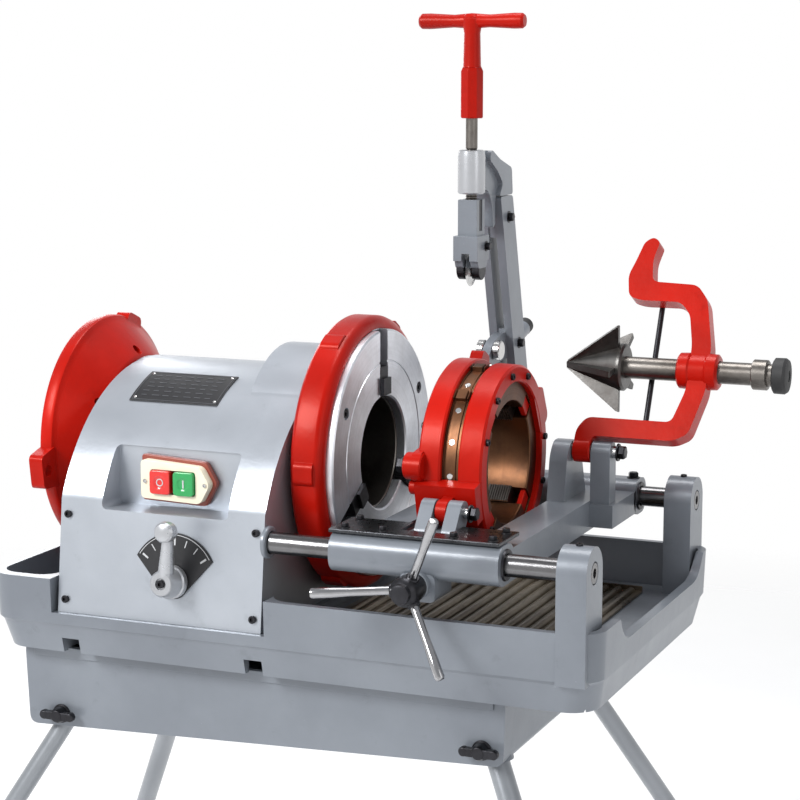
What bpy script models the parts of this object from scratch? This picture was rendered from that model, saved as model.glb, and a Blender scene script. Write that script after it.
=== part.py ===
"""Pipe threading machine with a splayed four-leg stand.

Every size is in metres in the spindle frame: X runs along the spindle towards the
reamer, Y to the back of the machine, Z up, and x = 0 is the front of the chuck ring.
One empty carries that frame to its place above the floor.
"""
import math

import bmesh
import bpy
from mathutils import Matrix, Vector

# ---- driving dimensions ------------------------------------------------------------
SPINDLE_PLACE = (0.046, 0.0125, 0.765)     # spindle frame in the world, floor at z = 0
GAP = 0.0003                              # play between pieces that touch
SHAPE_TOLERANCE = 1e-6

PIPE_BORE = 0.0585                        # inside radius of the hollow spindle
SPINDLE_R = 0.066
SPINDLE_LEFT = -0.328
SPINDLE_NOSE = -0.003

CHUCK_RING_R = 0.145
CHUCK_RING_BACK = -0.0375
CHUCK_DISC_R = 0.131
CHUCK_FACE = 0.0075
JAW_ANGLES = (90, 210, 330)

HEAD_LEFT, HEAD_RIGHT = -0.275, -0.041
HEAD_SHELL = 0.006
HEAD_FOOT = -0.154
HEAD_FOOT_Y, HEAD_SHOULDER_Y = 0.200, 0.187
ARCH_R, ARCH_Z = 0.203, -0.115
HEAD_SHOULDER = ARCH_Z + math.sqrt(ARCH_R ** 2 - HEAD_SHOULDER_Y ** 2)
RECESS_LOW, RECESS_HIGH, RECESS_BACK = -0.044, 0.018, -0.150
COLLAR_R, COLLAR_LEFT = 0.112, -0.105

BED_LEFT, BED_RIGHT = -0.357, 0.312
BED_TOP_Y, BED_BOTTOM_Y = 0.208, 0.195
BED_TOP, BED_BOTTOM = -0.118, -0.198
BED_WALL, BED_CORNER = 0.008, 0.030
TRAY_FLOOR, FLOOR_THICK = -0.165, 0.012

RAIL_Y, RAIL_Z, RAIL_R = 0.183, -0.0634, 0.011
RAIL_LEFT, RAIL_RIGHT = HEAD_RIGHT + GAP, 0.300
POST_LEFT, POST_TOP, POST_HALF = 0.270, -0.038, 0.025

TANK_LEFT, TANK_RIGHT = -0.332, 0.209
TANK_FRONT, TANK_BACK = -0.175, 0.150
TANK_TOP, TANK_DEEP, TANK_SHALLOW = -0.1985, -0.287, -0.267
TANK_WALL = 0.003
CLAMP_UP = 0.015                          # leg clamp screws above the tank's bottom edge

FLOOR = -0.765
LEG_R, LEG_WALL = 0.0125, 0.002
LEG_SPLAY_X, LEG_SPLAY_Y = 0.53, 0.42
LEG_SOCKET_TOP = -0.222
LEG_SOCKET_R = 0.017
LEG_ROOTS = {"front_left": (-0.262, -0.126), "front_right": (0.170, -0.134),
             "rear_left": (-0.262, 0.101), "rear_right": (0.170, 0.109)}

SPINDLE_TEETH, BULL_MODULE, PINION_TEETH = 62, 0.003, 15
GEAR_TEETH, FINE_MODULE, MOTOR_TEETH = 44, 0.002, 14
GEAR_PLAY = 0.0004
SHAFT_ANGLE = math.radians(-45)
MOTOR_ANGLE = math.radians(-18)
FEED_MODULE, FEED_TEETH = 0.0015, 14

CARRIAGE_LEFT, CARRIAGE_RIGHT = 0.036, 0.212
SLEEVE_TOP, SLEEVE_BOTTOM = -0.044, -0.083
SLEEVE_INNER_Y, SLEEVE_OUTER_Y = 0.160, 0.206
FEED_X, FEED_Z = 0.130, -0.0852            # the feed pinion's axis

DIE_HINGE = (-0.125, -0.030)              # y, z
DIE_LEFT, DIE_RIGHT = 0.088, 0.155
DIE_BORE, DIE_OUTER = 0.0635, 0.105
DIE_ANGLES = (45, 135, 225, 315)

CUT_X, CUT_HALF = 0.060, 0.015
CUT_PIVOT = (0.145, -0.030)               # y, z
CUT_SCREW_Y = 0.118
CUT_COLUMN_Y, CUT_COLUMN_WIDE = 0.242, 0.040  # near edge at the spindle's height
CUT_COLUMN_LEAN, CUT_COLUMN_TOP = 0.267, 0.262

REAM_PIVOT = (0.095, 0.0)                 # y, z
REAM_ARM = 0.095
REAM_LEAN = math.radians(26)
REAM_AXIS = (REAM_PIVOT[0] + REAM_ARM * math.sin(REAM_LEAN), REAM_ARM * math.cos(REAM_LEAN))

FACE_LEAN = math.atan2(HEAD_FOOT_Y - HEAD_SHOULDER_Y, HEAD_SHOULDER - HEAD_FOOT)
FACE_NORMAL = Vector((0, -math.cos(FACE_LEAN), math.sin(FACE_LEAN)))

PAINTS = {
    "grey_paint": ((0.43, 0.47, 0.53), 0.38, 0.25),
    "red_paint": ((0.58, 0.020, 0.012), 0.30, 0.0),
    "bright_steel": ((0.62, 0.62, 0.60), 0.28, 1.0),
    "oily_steel": ((0.17, 0.155, 0.14), 0.40, 0.9),
    "bronze": ((0.30, 0.16, 0.08), 0.42, 0.8),
    "black_steel": ((0.022, 0.022, 0.024), 0.45, 0.5),
    "black_plate": ((0.012, 0.012, 0.014), 0.35, 0.0),
    "cream_plastic": ((0.72, 0.66, 0.50), 0.45, 0.0),
    "red_plastic": ((0.60, 0.03, 0.02), 0.35, 0.0),
    "green_plastic": ((0.02, 0.28, 0.07), 0.35, 0.0),
    "tray_steel": ((0.16, 0.11, 0.065), 0.45, 0.6),
    "leg_paint": ((0.33, 0.37, 0.40), 0.35, 0.5),
}


# ---- scene and object helpers ------------------------------------------------------
def clear_scene():
    for thing in list(bpy.data.objects):
        bpy.data.objects.remove(thing, do_unlink=True)


def paint(name):
    """The material of that name, made the first time it is asked for."""
    found = bpy.data.materials.get(name)
    if found:
        return found
    colour, roughness, metallic = PAINTS[name]
    made = bpy.data.materials.new(name)
    made.use_nodes = True
    shader = made.node_tree.nodes["Principled BSDF"]
    shader.inputs["Base Color"].default_value = (*colour, 1.0)
    shader.inputs["Roughness"].default_value = roughness
    shader.inputs["Metallic"].default_value = metallic
    return made


def link(name, mesh):
    made = bpy.data.objects.new(name, mesh)
    bpy.context.scene.collection.objects.link(made)
    return made


def mesh_from(shape, name):
    """A mesh with outward normals from a bmesh, which is freed."""
    bmesh.ops.recalc_face_normals(shape, faces=shape.faces[:])
    mesh = bpy.data.meshes.new(name)
    shape.to_mesh(mesh)
    shape.free()
    return mesh


def combined(first, steps):
    """First with each (operation, shape) of steps applied in turn by an exact boolean."""
    body = link("working_body", mesh_from(first, "working_body"))
    tools = []
    for operation, shape in steps:
        tool = link("cutter", mesh_from(shape, "cutter"))
        tool.hide_render = True
        tool.display_type = "WIRE"
        tools.append(tool)
        cut = body.modifiers.new("cut", "BOOLEAN")
        cut.operation = operation
        cut.solver = "EXACT"
        cut.object = tool
    result = bmesh.new()
    result.from_object(body, bpy.context.evaluated_depsgraph_get())
    bmesh.ops.remove_doubles(result, verts=result.verts[:], dist=SHAPE_TOLERANCE)
    for used in [body, *tools]:
        bpy.data.objects.remove(used, do_unlink=True)
    return result


def joined(*shapes):
    return combined(shapes[0], [("UNION", s) for s in shapes[1:]])


def less(first, *shapes):
    return combined(first, [("DIFFERENCE", s) for s in shapes])


def node(name, shape, colour, frame, pivot=(0.0, 0.0, 0.0), smooth=True):
    """Make the object for one sub-part, with its origin at pivot in the spindle frame."""
    bmesh.ops.translate(shape, verts=shape.verts[:], vec=-Vector(pivot))
    mesh = mesh_from(shape, name)
    mesh.materials.append(paint(colour))
    if smooth:
        mesh.shade_smooth()
        mesh.set_sharp_from_angle(angle=math.radians(35))
    made = link(name, mesh)
    made.parent = frame
    made.location = pivot
    return made


# ---- shape helpers -----------------------------------------------------------------
def box(low, high):
    shape = bmesh.new()
    bmesh.ops.create_cube(shape, size=1.0)
    size = [b - a for a, b in zip(low, high)]
    middle = [(a + b) / 2 for a, b in zip(low, high)]
    bmesh.ops.scale(shape, vec=size, verts=shape.verts[:])
    bmesh.ops.translate(shape, vec=middle, verts=shape.verts[:])
    return shape


def rod(start, end, radius, sides=18, end_radius=None):
    """A cylinder or cone from start to end."""
    a, b = Vector(start), Vector(end)
    turn = (b - a).to_track_quat("Z", "Y").to_matrix().to_4x4()
    shape = bmesh.new()
    top = radius if end_radius is None else end_radius
    bmesh.ops.create_cone(shape, cap_ends=True, segments=sides, radius1=radius, radius2=top,
                          depth=(b - a).length, matrix=Matrix.Translation((a + b) / 2) @ turn)
    return shape


def turned(profile, sides=40, centre=(0.0, 0.0)):
    """Spin a closed outline of (x, radius) points about the line y, z = centre."""
    shape = bmesh.new()
    ring = [shape.verts.new((x, 0.0, r)) for x, r in profile]
    edges = [shape.edges.new((ring[i - 1], ring[i])) for i in range(len(ring))]
    bmesh.ops.spin(shape, geom=ring + edges, axis=(1, 0, 0), cent=(0, 0, 0),
                   steps=sides, angle=2 * math.pi, use_merge=True)
    bmesh.ops.remove_doubles(shape, verts=shape.verts[:], dist=SHAPE_TOLERANCE)
    bmesh.ops.translate(shape, vec=(0, *centre), verts=shape.verts[:])
    return shape


def tube(x0, x1, inner, outer, sides=40, centre=(0.0, 0.0)):
    return turned([(x0, inner), (x0, outer), (x1, outer), (x1, inner)], sides, centre)


def slab(outline, low, high, axis="X"):
    """Extrude an outline along an axis: (y, z) for X, (x, z) for Y and (x, y) for Z."""
    places = {"X": lambda a, b: (low, a, b), "Y": lambda a, b: (a, low, b),
              "Z": lambda a, b: (a, b, low)}
    along = {"X": (1, 0, 0), "Y": (0, 1, 0), "Z": (0, 0, 1)}[axis]
    shape = bmesh.new()
    face = shape.faces.new([shape.verts.new(places[axis](a, b)) for a, b in outline])
    moved = bmesh.ops.extrude_face_region(shape, geom=[face])["geom"]
    corners = [v for v in moved if isinstance(v, bmesh.types.BMVert)]
    bmesh.ops.translate(shape, vec=Vector(along) * (high - low), verts=corners)
    return shape


def arc(centre, radius, start, end, steps):
    """Points on an arc, angles in degrees from the first coordinate to the second."""
    turn = [math.radians(start + (end - start) * i / steps) for i in range(steps + 1)]
    return [(centre[0] + radius * math.cos(t), centre[1] + radius * math.sin(t)) for t in turn]


def rounded_rectangle(x0, x1, y0, y1, radius, steps=5):
    points = arc((x1 - radius, y1 - radius), radius, 0, 90, steps)
    points += arc((x0 + radius, y1 - radius), radius, 90, 180, steps)
    points += arc((x0 + radius, y0 + radius), radius, 180, 270, steps)
    points += arc((x1 - radius, y0 + radius), radius, 270, 360, steps)
    return points


def loft(lower, upper, z0, z1):
    """A closed solid between two horizontal outlines with the same number of points."""
    shape = bmesh.new()
    rings = [[shape.verts.new((x, y, z)) for x, y in outline]
             for outline, z in ((lower, z0), (upper, z1))]
    shape.faces.new(rings[0][::-1])
    shape.faces.new(rings[1])
    count = len(lower)
    for i in range(count):
        j = (i + 1) % count
        shape.faces.new((rings[0][i], rings[0][j], rings[1][j], rings[1][i]))
    return shape


def capsule(start, end, half):
    """The outline of a bar with round ends from start to end."""
    heading = math.degrees(math.atan2(end[1] - start[1], end[0] - start[0]))
    return (arc(end, half, heading - 90, heading + 90, 8)
            + arc(start, half, heading + 90, heading + 270, 8))


def gear(x0, x1, teeth, module, centre, facing, tooth_there):
    """A straight-toothed gear about X, with a tooth or a gap towards the angle facing."""
    pitch = 2 * math.pi / teeth
    first = facing if tooth_there else facing + pitch / 2
    root, tip = module * (teeth / 2 - 1.25), module * (teeth / 2 + 1.0)
    outline = []
    for k in range(teeth):
        middle = first + k * pitch
        for share, radius in ((-0.32, root), (-0.11, tip), (0.11, tip), (0.32, root)):
            a = middle + share * pitch
            outline.append((centre[0] + radius * math.cos(a), centre[1] + radius * math.sin(a)))
    return slab(outline, x0, x1)


def turned_about_x(shape, degrees, centre=(0.0, 0.0)):
    bmesh.ops.rotate(shape, verts=shape.verts[:], cent=(0, *centre),
                     matrix=Matrix.Rotation(math.radians(degrees), 3, "X"))
    return shape


def radial_box(x0, x1, inner, outer, half_width, degrees):
    """A block that lies along a radius of the spindle, degrees from +Y towards +Z."""
    return turned_about_x(box((x0, inner, -half_width), (x1, outer, half_width)), degrees)


def on_head_face(x, z, out=0.0):
    """A point on the leaning front face of the headstock, moved out along its normal."""
    y = -HEAD_SHOULDER_Y - (HEAD_SHOULDER - z) * math.tan(FACE_LEAN)
    return Vector((x, y, z)) + FACE_NORMAL * out


def face_slab(outline, out0, out1):
    """A plate on the headstock's front face from an outline of (x, z) points."""
    shape = bmesh.new()
    rings = [[shape.verts.new(on_head_face(x, z, out)) for x, z in outline]
             for out in (out0, out1)]
    shape.faces.new(rings[0])
    shape.faces.new(rings[1][::-1])
    for i in range(len(outline)):
        shape.faces.new((rings[0][i - 1], rings[0][i], rings[1][i], rings[1][i - 1]))
    return shape


# ---- bed, tank and stand -----------------------------------------------------------
def post(side):
    """One rail post: rounded top, standing in the tray's corner."""
    y = side * RAIL_Y
    top = POST_TOP - POST_HALF
    outline = arc((y, top), POST_HALF, 0, 180, 10)
    outline += [(y - POST_HALF, TRAY_FLOOR - 0.004), (y + POST_HALF, TRAY_FLOOR - 0.004)]
    return slab(outline, POST_LEFT, RAIL_RIGHT)


def build_bed(frame):
    outer_low = rounded_rectangle(BED_LEFT + 0.010, BED_RIGHT - 0.010, -BED_BOTTOM_Y,
                                  BED_BOTTOM_Y, BED_CORNER)
    outer_top = rounded_rectangle(BED_LEFT, BED_RIGHT, -BED_TOP_Y, BED_TOP_Y, BED_CORNER)
    body = loft(outer_low, outer_top, BED_BOTTOM, BED_TOP)
    tray_left, ledge_right = HEAD_RIGHT + 0.006, HEAD_RIGHT + 0.007
    low_y, top_y = BED_BOTTOM_Y - BED_WALL + 0.005, BED_TOP_Y - BED_WALL
    tray = loft(rounded_rectangle(tray_left, BED_RIGHT - 0.014, -low_y, low_y, 0.024),
                rounded_rectangle(tray_left, BED_RIGHT - BED_WALL, -top_y, top_y, 0.024),
                TRAY_FLOOR, BED_TOP + 0.002)
    over_ledge = box((HEAD_LEFT - 0.004, -0.25, HEAD_FOOT), (ledge_right, 0.25, BED_TOP + 0.01))
    under_y = BED_BOTTOM_Y - BED_WALL
    under_top = TRAY_FLOOR - FLOOR_THICK
    under = box((HEAD_LEFT, -under_y, BED_BOTTOM - 0.01),
                (BED_RIGHT - 0.018, under_y, under_top))
    bin_low, bin_y = -0.158, 0.170
    bin_room = box((BED_LEFT + BED_WALL, -bin_y, bin_low), (HEAD_LEFT - BED_WALL, bin_y, BED_TOP + 0.01))
    box_left = box((BED_LEFT + 0.018, -under_y, BED_BOTTOM - 0.01),
                   (HEAD_LEFT - 0.012, under_y, bin_low - BED_WALL))
    end_dip = box((BED_RIGHT - 0.020, -0.125, BED_TOP - 0.026),
                  (BED_RIGHT + 0.010, 0.160, BED_TOP + 0.01))
    body = less(body, tray, over_ledge, under, bin_room, box_left, end_dip)
    body = joined(body, post(-1), post(1))
    holes = [rod((POST_LEFT - 0.01, s * RAIL_Y, RAIL_Z), (RAIL_RIGHT + 0.02, s * RAIL_Y, RAIL_Z),
                 RAIL_R + GAP, 24) for s in (-1, 1)]
    notches = [box((x - 0.010, -0.230, BED_BOTTOM - 0.01), (x + 0.010, -0.180, BED_BOTTOM + 0.016))
               for x in (-0.2615, -0.0507)]
    node("bed_casting", less(body, *holes, *notches), "grey_paint", frame)


def leg_centre(name, z):
    """Centre of a leg's round section at the height z."""
    x, y = LEG_ROOTS[name]
    side_x = 1 if x > 0 else -1
    side_y = 1 if y > 0 else -1
    drop = LEG_SOCKET_TOP - z
    return x + side_x * LEG_SPLAY_X * drop, y + side_y * LEG_SPLAY_Y * drop


def leg_shape(name, radius, z0, z1, sides=16):
    """A slanted round bar with horizontal ends, so that a foot stands flat."""
    lower = arc(leg_centre(name, z0), radius, 0, 360 - 360 / sides, sides - 1)
    upper = arc(leg_centre(name, z1), radius, 0, 360 - 360 / sides, sides - 1)
    return loft(lower, upper, z0, z1)


def clamp_height(name):
    return (TANK_DEEP if "left" in name else TANK_SHALLOW) + CLAMP_UP


def build_tank(frame):
    outline = [(TANK_LEFT, TANK_TOP), (TANK_LEFT + 0.004, TANK_DEEP), (TANK_RIGHT - 0.002,
               TANK_SHALLOW), (TANK_RIGHT, TANK_TOP)]
    inside = [(TANK_LEFT + TANK_WALL, TANK_TOP + 0.01),
              (TANK_LEFT + 0.004 + TANK_WALL, TANK_DEEP + TANK_WALL),
              (TANK_RIGHT - 0.002 - TANK_WALL, TANK_SHALLOW + TANK_WALL),
              (TANK_RIGHT - TANK_WALL, TANK_TOP + 0.01)]
    shell = less(slab(outline, TANK_FRONT, TANK_BACK, "Y"),
                 slab(inside, TANK_FRONT + TANK_WALL, TANK_BACK - TANK_WALL, "Y"))
    sockets, bores, holes = [], [], []
    for name in LEG_ROOTS:
        bottom = TANK_DEEP + 0.002 if "left" in name else TANK_SHALLOW + 0.002
        sockets.append(leg_shape(name, LEG_SOCKET_R, bottom, LEG_SOCKET_TOP + 0.006))
        bores.append(leg_shape(name, LEG_R + GAP, TANK_DEEP - 0.02, LEG_SOCKET_TOP + GAP))
        z = clamp_height(name)
        x, y = leg_centre(name, z)
        wall = TANK_FRONT if y < 0 else TANK_BACK
        outward = -1 if y < 0 else 1
        sockets.append(box((x - 0.008, min(y, wall - outward * 0.001), z - 0.008),
                           (x + 0.008, max(y, wall - outward * 0.001), z + 0.008)))
        holes.append(rod((x, y, z), (x, wall + outward * 0.01, z), 0.004 + GAP, 16))
    node("oil_tank", less(joined(shell, *sockets), *bores, *holes), "grey_paint", frame)


def build_stand(frame):
    for name in LEG_ROOTS:
        outer = leg_shape(name, LEG_R, FLOOR, LEG_SOCKET_TOP)
        inner = leg_shape(name, LEG_R - LEG_WALL, FLOOR - 0.01, LEG_SOCKET_TOP - 0.010)
        node("leg_" + name, less(outer, inner), "leg_paint", frame,
             pivot=(*leg_centre(name, LEG_SOCKET_TOP), LEG_SOCKET_TOP))
        z = clamp_height(name)
        x, y = leg_centre(name, z)
        outward = -1 if y < 0 else 1
        wall = TANK_FRONT if y < 0 else TANK_BACK
        stem = rod((x, y + outward * (LEG_R + 0.003), z), (x, wall + outward * 0.012, z), 0.004, 16)
        head_near, head_far = wall + outward * 0.0006, wall + outward * 0.014
        head = rod((x, head_near, z), (x, head_far, z), 0.0085, 20)
        wing = box((x - 0.020, min(head_far, head_far - outward * 0.008), z - 0.0035),
                   (x + 0.020, max(head_far, head_far - outward * 0.008), z + 0.0035))
        node("leg_clamp_" + name, joined(stem, head, wing), "black_steel", frame, pivot=(x, wall, z))


def build_rails(frame):
    pitch = math.pi * FEED_MODULE
    rack_line = RAIL_Z - RAIL_R + 0.0012
    for side, name in ((-1, "front_rail"), (1, "rear_rail")):
        rail = rod((RAIL_LEFT, side * RAIL_Y, RAIL_Z), (RAIL_RIGHT, side * RAIL_Y, RAIL_Z), RAIL_R, 24)
        if side < 0:
            count = 20
            start = FEED_X - (count // 2 + 0.5) * pitch
            comb = [(start, -0.09)]
            for k in range(count + 1):
                x = start + k * pitch
                comb += [(x, rack_line - 0.0019), (x + 0.16 * pitch, rack_line - 0.0019),
                         (x + 0.36 * pitch, rack_line + 0.0015), (x + 0.64 * pitch, rack_line + 0.0015),
                         (x + 0.84 * pitch, rack_line - 0.0019)]
            comb.append((start + (count + 1) * pitch, -0.09))
            rail = less(rail, slab(comb, -RAIL_Y - 0.012, -RAIL_Y + 0.012, "Y"))
        node(name, rail, "bright_steel", frame)


def build_chip_tray(frame):
    low = box((-0.020, -0.150, TRAY_FLOOR + GAP), (0.250, 0.150, TRAY_FLOOR + 0.004))
    ribs = [box((-0.010 + k * 0.022, -0.145, TRAY_FLOOR + 0.0035),
                (-0.002 + k * 0.022, 0.145, TRAY_FLOOR + 0.008)) for k in range(12)]
    node("chip_tray", joined(low, *ribs), "tray_steel", frame)


# ---- headstock ---------------------------------------------------------------------
def head_outline(inset, foot):
    """The headstock's end outline in (y, z), moved in by inset."""
    radius = ARCH_R - inset
    shoulder_y = HEAD_SHOULDER_Y - inset
    turn = math.degrees(math.acos(shoulder_y / radius))
    points = arc((0.0, ARCH_Z), radius, turn, 180 - turn, 22)
    return points + [(-HEAD_FOOT_Y + inset, foot), (HEAD_FOOT_Y - inset, foot)]


def build_headstock_cover(frame):
    outer = joined(slab(head_outline(0.0, HEAD_FOOT), HEAD_LEFT, HEAD_RIGHT),
                   tube(COLLAR_LEFT, HEAD_RIGHT, 0.0, COLLAR_R, 48))
    foot_cut = box((HEAD_LEFT - 0.01, -0.25, -0.40), (HEAD_RIGHT + 0.01, 0.25, HEAD_FOOT + GAP))
    pocket = box((-0.233, -0.25, RECESS_LOW - HEAD_SHELL),
                 (-0.076, RECESS_BACK + HEAD_SHELL, RECESS_HIGH + HEAD_SHELL))
    inner = less(slab(head_outline(HEAD_SHELL, -0.20), HEAD_LEFT + HEAD_SHELL,
                      HEAD_RIGHT - HEAD_SHELL), pocket)
    collar_inner = tube(COLLAR_LEFT + HEAD_SHELL, HEAD_RIGHT - HEAD_SHELL, 0.0, 0.1035, 48)
    recess = box((-0.227, -0.25, RECESS_LOW), (-0.082, RECESS_BACK, RECESS_HIGH))
    bore = tube(HEAD_LEFT - 0.01, HEAD_RIGHT + 0.01, 0.0, SPINDLE_R + 0.004, 40)
    hub = rod(on_head_face(-0.140, -0.110, -0.02), on_head_face(-0.140, -0.110, 0.01), 0.006 + GAP)
    gland = rod((-0.240, 0.170, -0.120), (-0.240, 0.230, -0.120), 0.008 + GAP)
    shell = less(outer, foot_cut, inner, collar_inner, recess, bore, hub, gland)
    node("headstock_cover", shell, "grey_paint", frame)


def build_headstock_frame(frame):
    """Base plate with the two bearing plates, under the cover."""
    low = HEAD_FOOT + GAP
    base = box((HEAD_LEFT + 0.012, -0.180, low), (HEAD_RIGHT - 0.012, 0.180, low + 0.010))
    plates = []
    for x0, x1 in ((-0.262, -0.246), (-0.127, -0.111)):
        width = 0.125
        turn = math.degrees(math.acos(width / 0.195))
        outline = arc((0.0, ARCH_Z), 0.195, turn, 180 - turn, 14)
        plates.append(slab(outline + [(-width, low + 0.002), (width, low + 0.002)], x0, x1))
    cuts = [tube(-0.30, -0.10, 0.0, 0.0745 + GAP, 40)]
    shaft_y, shaft_z = shaft_place()
    cuts.append(tube(-0.140, -0.105, 0.0, 0.010 + GAP, 24, (shaft_y, shaft_z)))
    motor_y, motor_z = motor_place()
    cuts.append(tube(-0.140, -0.105, 0.0, 0.008, 24, (motor_y, motor_z)))
    node("headstock_frame", less(joined(base, *plates), *cuts), "grey_paint", frame)


def shaft_place():
    distance = BULL_MODULE * (SPINDLE_TEETH + PINION_TEETH) / 2 + GEAR_PLAY
    return distance * math.cos(SHAFT_ANGLE), distance * math.sin(SHAFT_ANGLE)


def motor_place():
    distance = FINE_MODULE * (GEAR_TEETH + MOTOR_TEETH) / 2 + GEAR_PLAY
    y, z = shaft_place()
    return y + distance * math.cos(MOTOR_ANGLE), z + distance * math.sin(MOTOR_ANGLE)


def build_drive(frame):
    shaft, motor = shaft_place(), motor_place()
    for x0, name in ((-0.262, "rear_spindle_bearing"), (-0.127, "front_spindle_bearing")):
        node(name, tube(x0, x0 + 0.016, SPINDLE_R + GAP, 0.0745), "bright_steel", frame)
    node("gear_motor", tube(-0.235, -0.1273, 0.007, 0.038, 40, motor), "black_steel", frame,
         pivot=(-0.1273, *motor))
    pinion = joined(gear(-0.108, -0.096, MOTOR_TEETH, FINE_MODULE, motor,
                         MOTOR_ANGLE + math.pi, False),
                    rod((-0.200, *motor), (-0.100, *motor), 0.006, 20))
    node("motor_pinion", pinion, "bright_steel", frame, pivot=(-0.102, *motor), smooth=False)
    cluster = joined(rod((-0.135, *shaft), (-0.054, *shaft), 0.010, 24),
                     gear(-0.108, -0.096, GEAR_TEETH, FINE_MODULE, shaft, MOTOR_ANGLE, True),
                     gear(-0.0895, -0.060, PINION_TEETH, BULL_MODULE, shaft,
                          SHAFT_ANGLE + math.pi, False))
    node("gear_shaft", cluster, "bright_steel", frame, pivot=(-0.100, *shaft), smooth=False)
    bull = gear(-0.090, -0.060, SPINDLE_TEETH, BULL_MODULE, (0.0, 0.0), SHAFT_ANGLE, True)
    bull = less(bull, tube(-0.10, -0.05, 0.0, SPINDLE_R + GAP))
    node("spindle_gear", bull, "bright_steel", frame, pivot=(-0.075, 0, 0), smooth=False)
    spindle = tube(SPINDLE_LEFT, SPINDLE_NOSE - GAP, PIPE_BORE, SPINDLE_R, 40)
    node("spindle", spindle, "oily_steel", frame)


def build_controls(frame):
    name_arc = arc((0.0, ARCH_Z), ARCH_R + 0.0018, 106.6, 122.4, 6)
    name_arc += arc((0.0, ARCH_Z), ARCH_R + GAP, 122.4, 106.6, 6)
    node("nameplate", slab(name_arc, -0.238, -0.134), "black_plate", frame)
    back = -0.150
    plate = [(-0.192, 0.007), (-0.192, -0.033), (-0.124, -0.035), (-0.113, -0.015), (-0.124, 0.003)]
    switch = slab(plate, back - 0.018, back - GAP, "Y")
    rooms = [box((x0 - GAP, back - 0.03, -0.0275), (x1 + GAP, back - 0.006, -0.0025))
             for x0, x1 in ((-0.180, -0.157), (-0.153, -0.130))]
    node("switch_housing", less(switch, *rooms), "cream_plastic", frame, smooth=False)
    for name, x0, x1, colour in (("stop_button", -0.180, -0.157, "red_plastic"),
                                 ("start_button", -0.153, -0.130, "green_plastic")):
        button = box((x0, back - 0.022, -0.0272), (x1, back - 0.0095, -0.0028))
        node(name, button, colour, frame, pivot=((x0 + x1) / 2, back - 0.0095, -0.015), smooth=False)
    sector = arc((-0.140, -0.110), 0.049, 152, 28, 10)
    sector += arc((-0.140, -0.110), 0.018, -60, -120, 4)
    hub_cut = rod(on_head_face(-0.140, -0.110, -0.01), on_head_face(-0.140, -0.110, 0.01), 0.0063)
    node("speed_dial_plate", less(face_slab(sector, GAP, 0.002), hub_cut), "black_plate", frame)
    pin = rod(on_head_face(-0.140, -0.110, -0.012), on_head_face(-0.140, -0.110, 0.010), 0.006)
    hub = rod(on_head_face(-0.140, -0.110, 0.0024), on_head_face(-0.140, -0.110, 0.030), 0.016)
    arm = rod(on_head_face(-0.140, -0.110, 0.024), on_head_face(-0.129, -0.052, 0.040), 0.0075, 16,
              0.005)
    knob = rod(on_head_face(-0.130, -0.058, 0.032), on_head_face(-0.130, -0.058, 0.050), 0.011)
    node("speed_lever", joined(hub, pin, arm, knob), "bright_steel", frame,
         pivot=on_head_face(-0.140, -0.110, 0.002))
    gland = turned([(0.0, 0.0035), (0.0, 0.008), (0.0116, 0.008), (0.0116, 0.012), (0.022, 0.012),
                    (0.026, 0.008), (0.026, 0.0035)], 24)
    bmesh.ops.rotate(gland, verts=gland.verts[:], cent=(0, 0, 0),
                     matrix=Matrix.Rotation(math.radians(90), 3, "Z"))
    bmesh.ops.translate(gland, verts=gland.verts[:], vec=(-0.240, 0.1868, -0.120))
    node("cable_gland", gland, "black_plate", frame)
    pump = box((-0.210, -0.030, -0.225), (-0.150, 0.030, TRAY_FLOOR - FLOOR_THICK - GAP))
    node("oil_pump", pump, "black_steel", frame, smooth=False)


# ---- chucks ------------------------------------------------------------------------
def build_front_chuck(frame):
    disc = turned([(-0.036, SPINDLE_R + GAP), (-0.036, 0.095), (-0.022, 0.095),
                   (-0.022, CHUCK_DISC_R), (CHUCK_FACE, CHUCK_DISC_R), (CHUCK_FACE, 0.060),
                   (SPINDLE_NOSE, 0.060), (SPINDLE_NOSE, SPINDLE_R + GAP)], 48)
    slots = [radial_box(SPINDLE_NOSE, 0.02, 0.02, 0.14, 0.010, a) for a in JAW_ANGLES]
    node("chuck_body", less(disc, *slots), "bright_steel", frame)
    ring = turned([(CHUCK_RING_BACK, 0.0955), (CHUCK_RING_BACK, 0.136), (-0.031, CHUCK_RING_R),
                   (-0.006, CHUCK_RING_R), (0.0, 0.140), (0.0, CHUCK_DISC_R + GAP),
                   (-0.0223, CHUCK_DISC_R + GAP), (-0.0223, 0.0955)], 48)
    grips = [radial_box(-0.030, -0.007, 0.138, 0.149, 0.012, a) for a in range(0, 360, 60)]
    node("chuck_handwheel", joined(ring, *grips), "red_paint", frame)
    for number, angle in enumerate(JAW_ANGLES, 1):
        jaw = radial_box(SPINDLE_NOSE + GAP, 0.012, 0.062, 0.092, 0.0097, angle)
        tip = less(jaw, *[radial_box(0.0, 0.02, 0.060, 0.0655, 0.0012, angle)])
        node(f"chuck_jaw_{number}", tip, "black_steel", frame, smooth=False)


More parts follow.
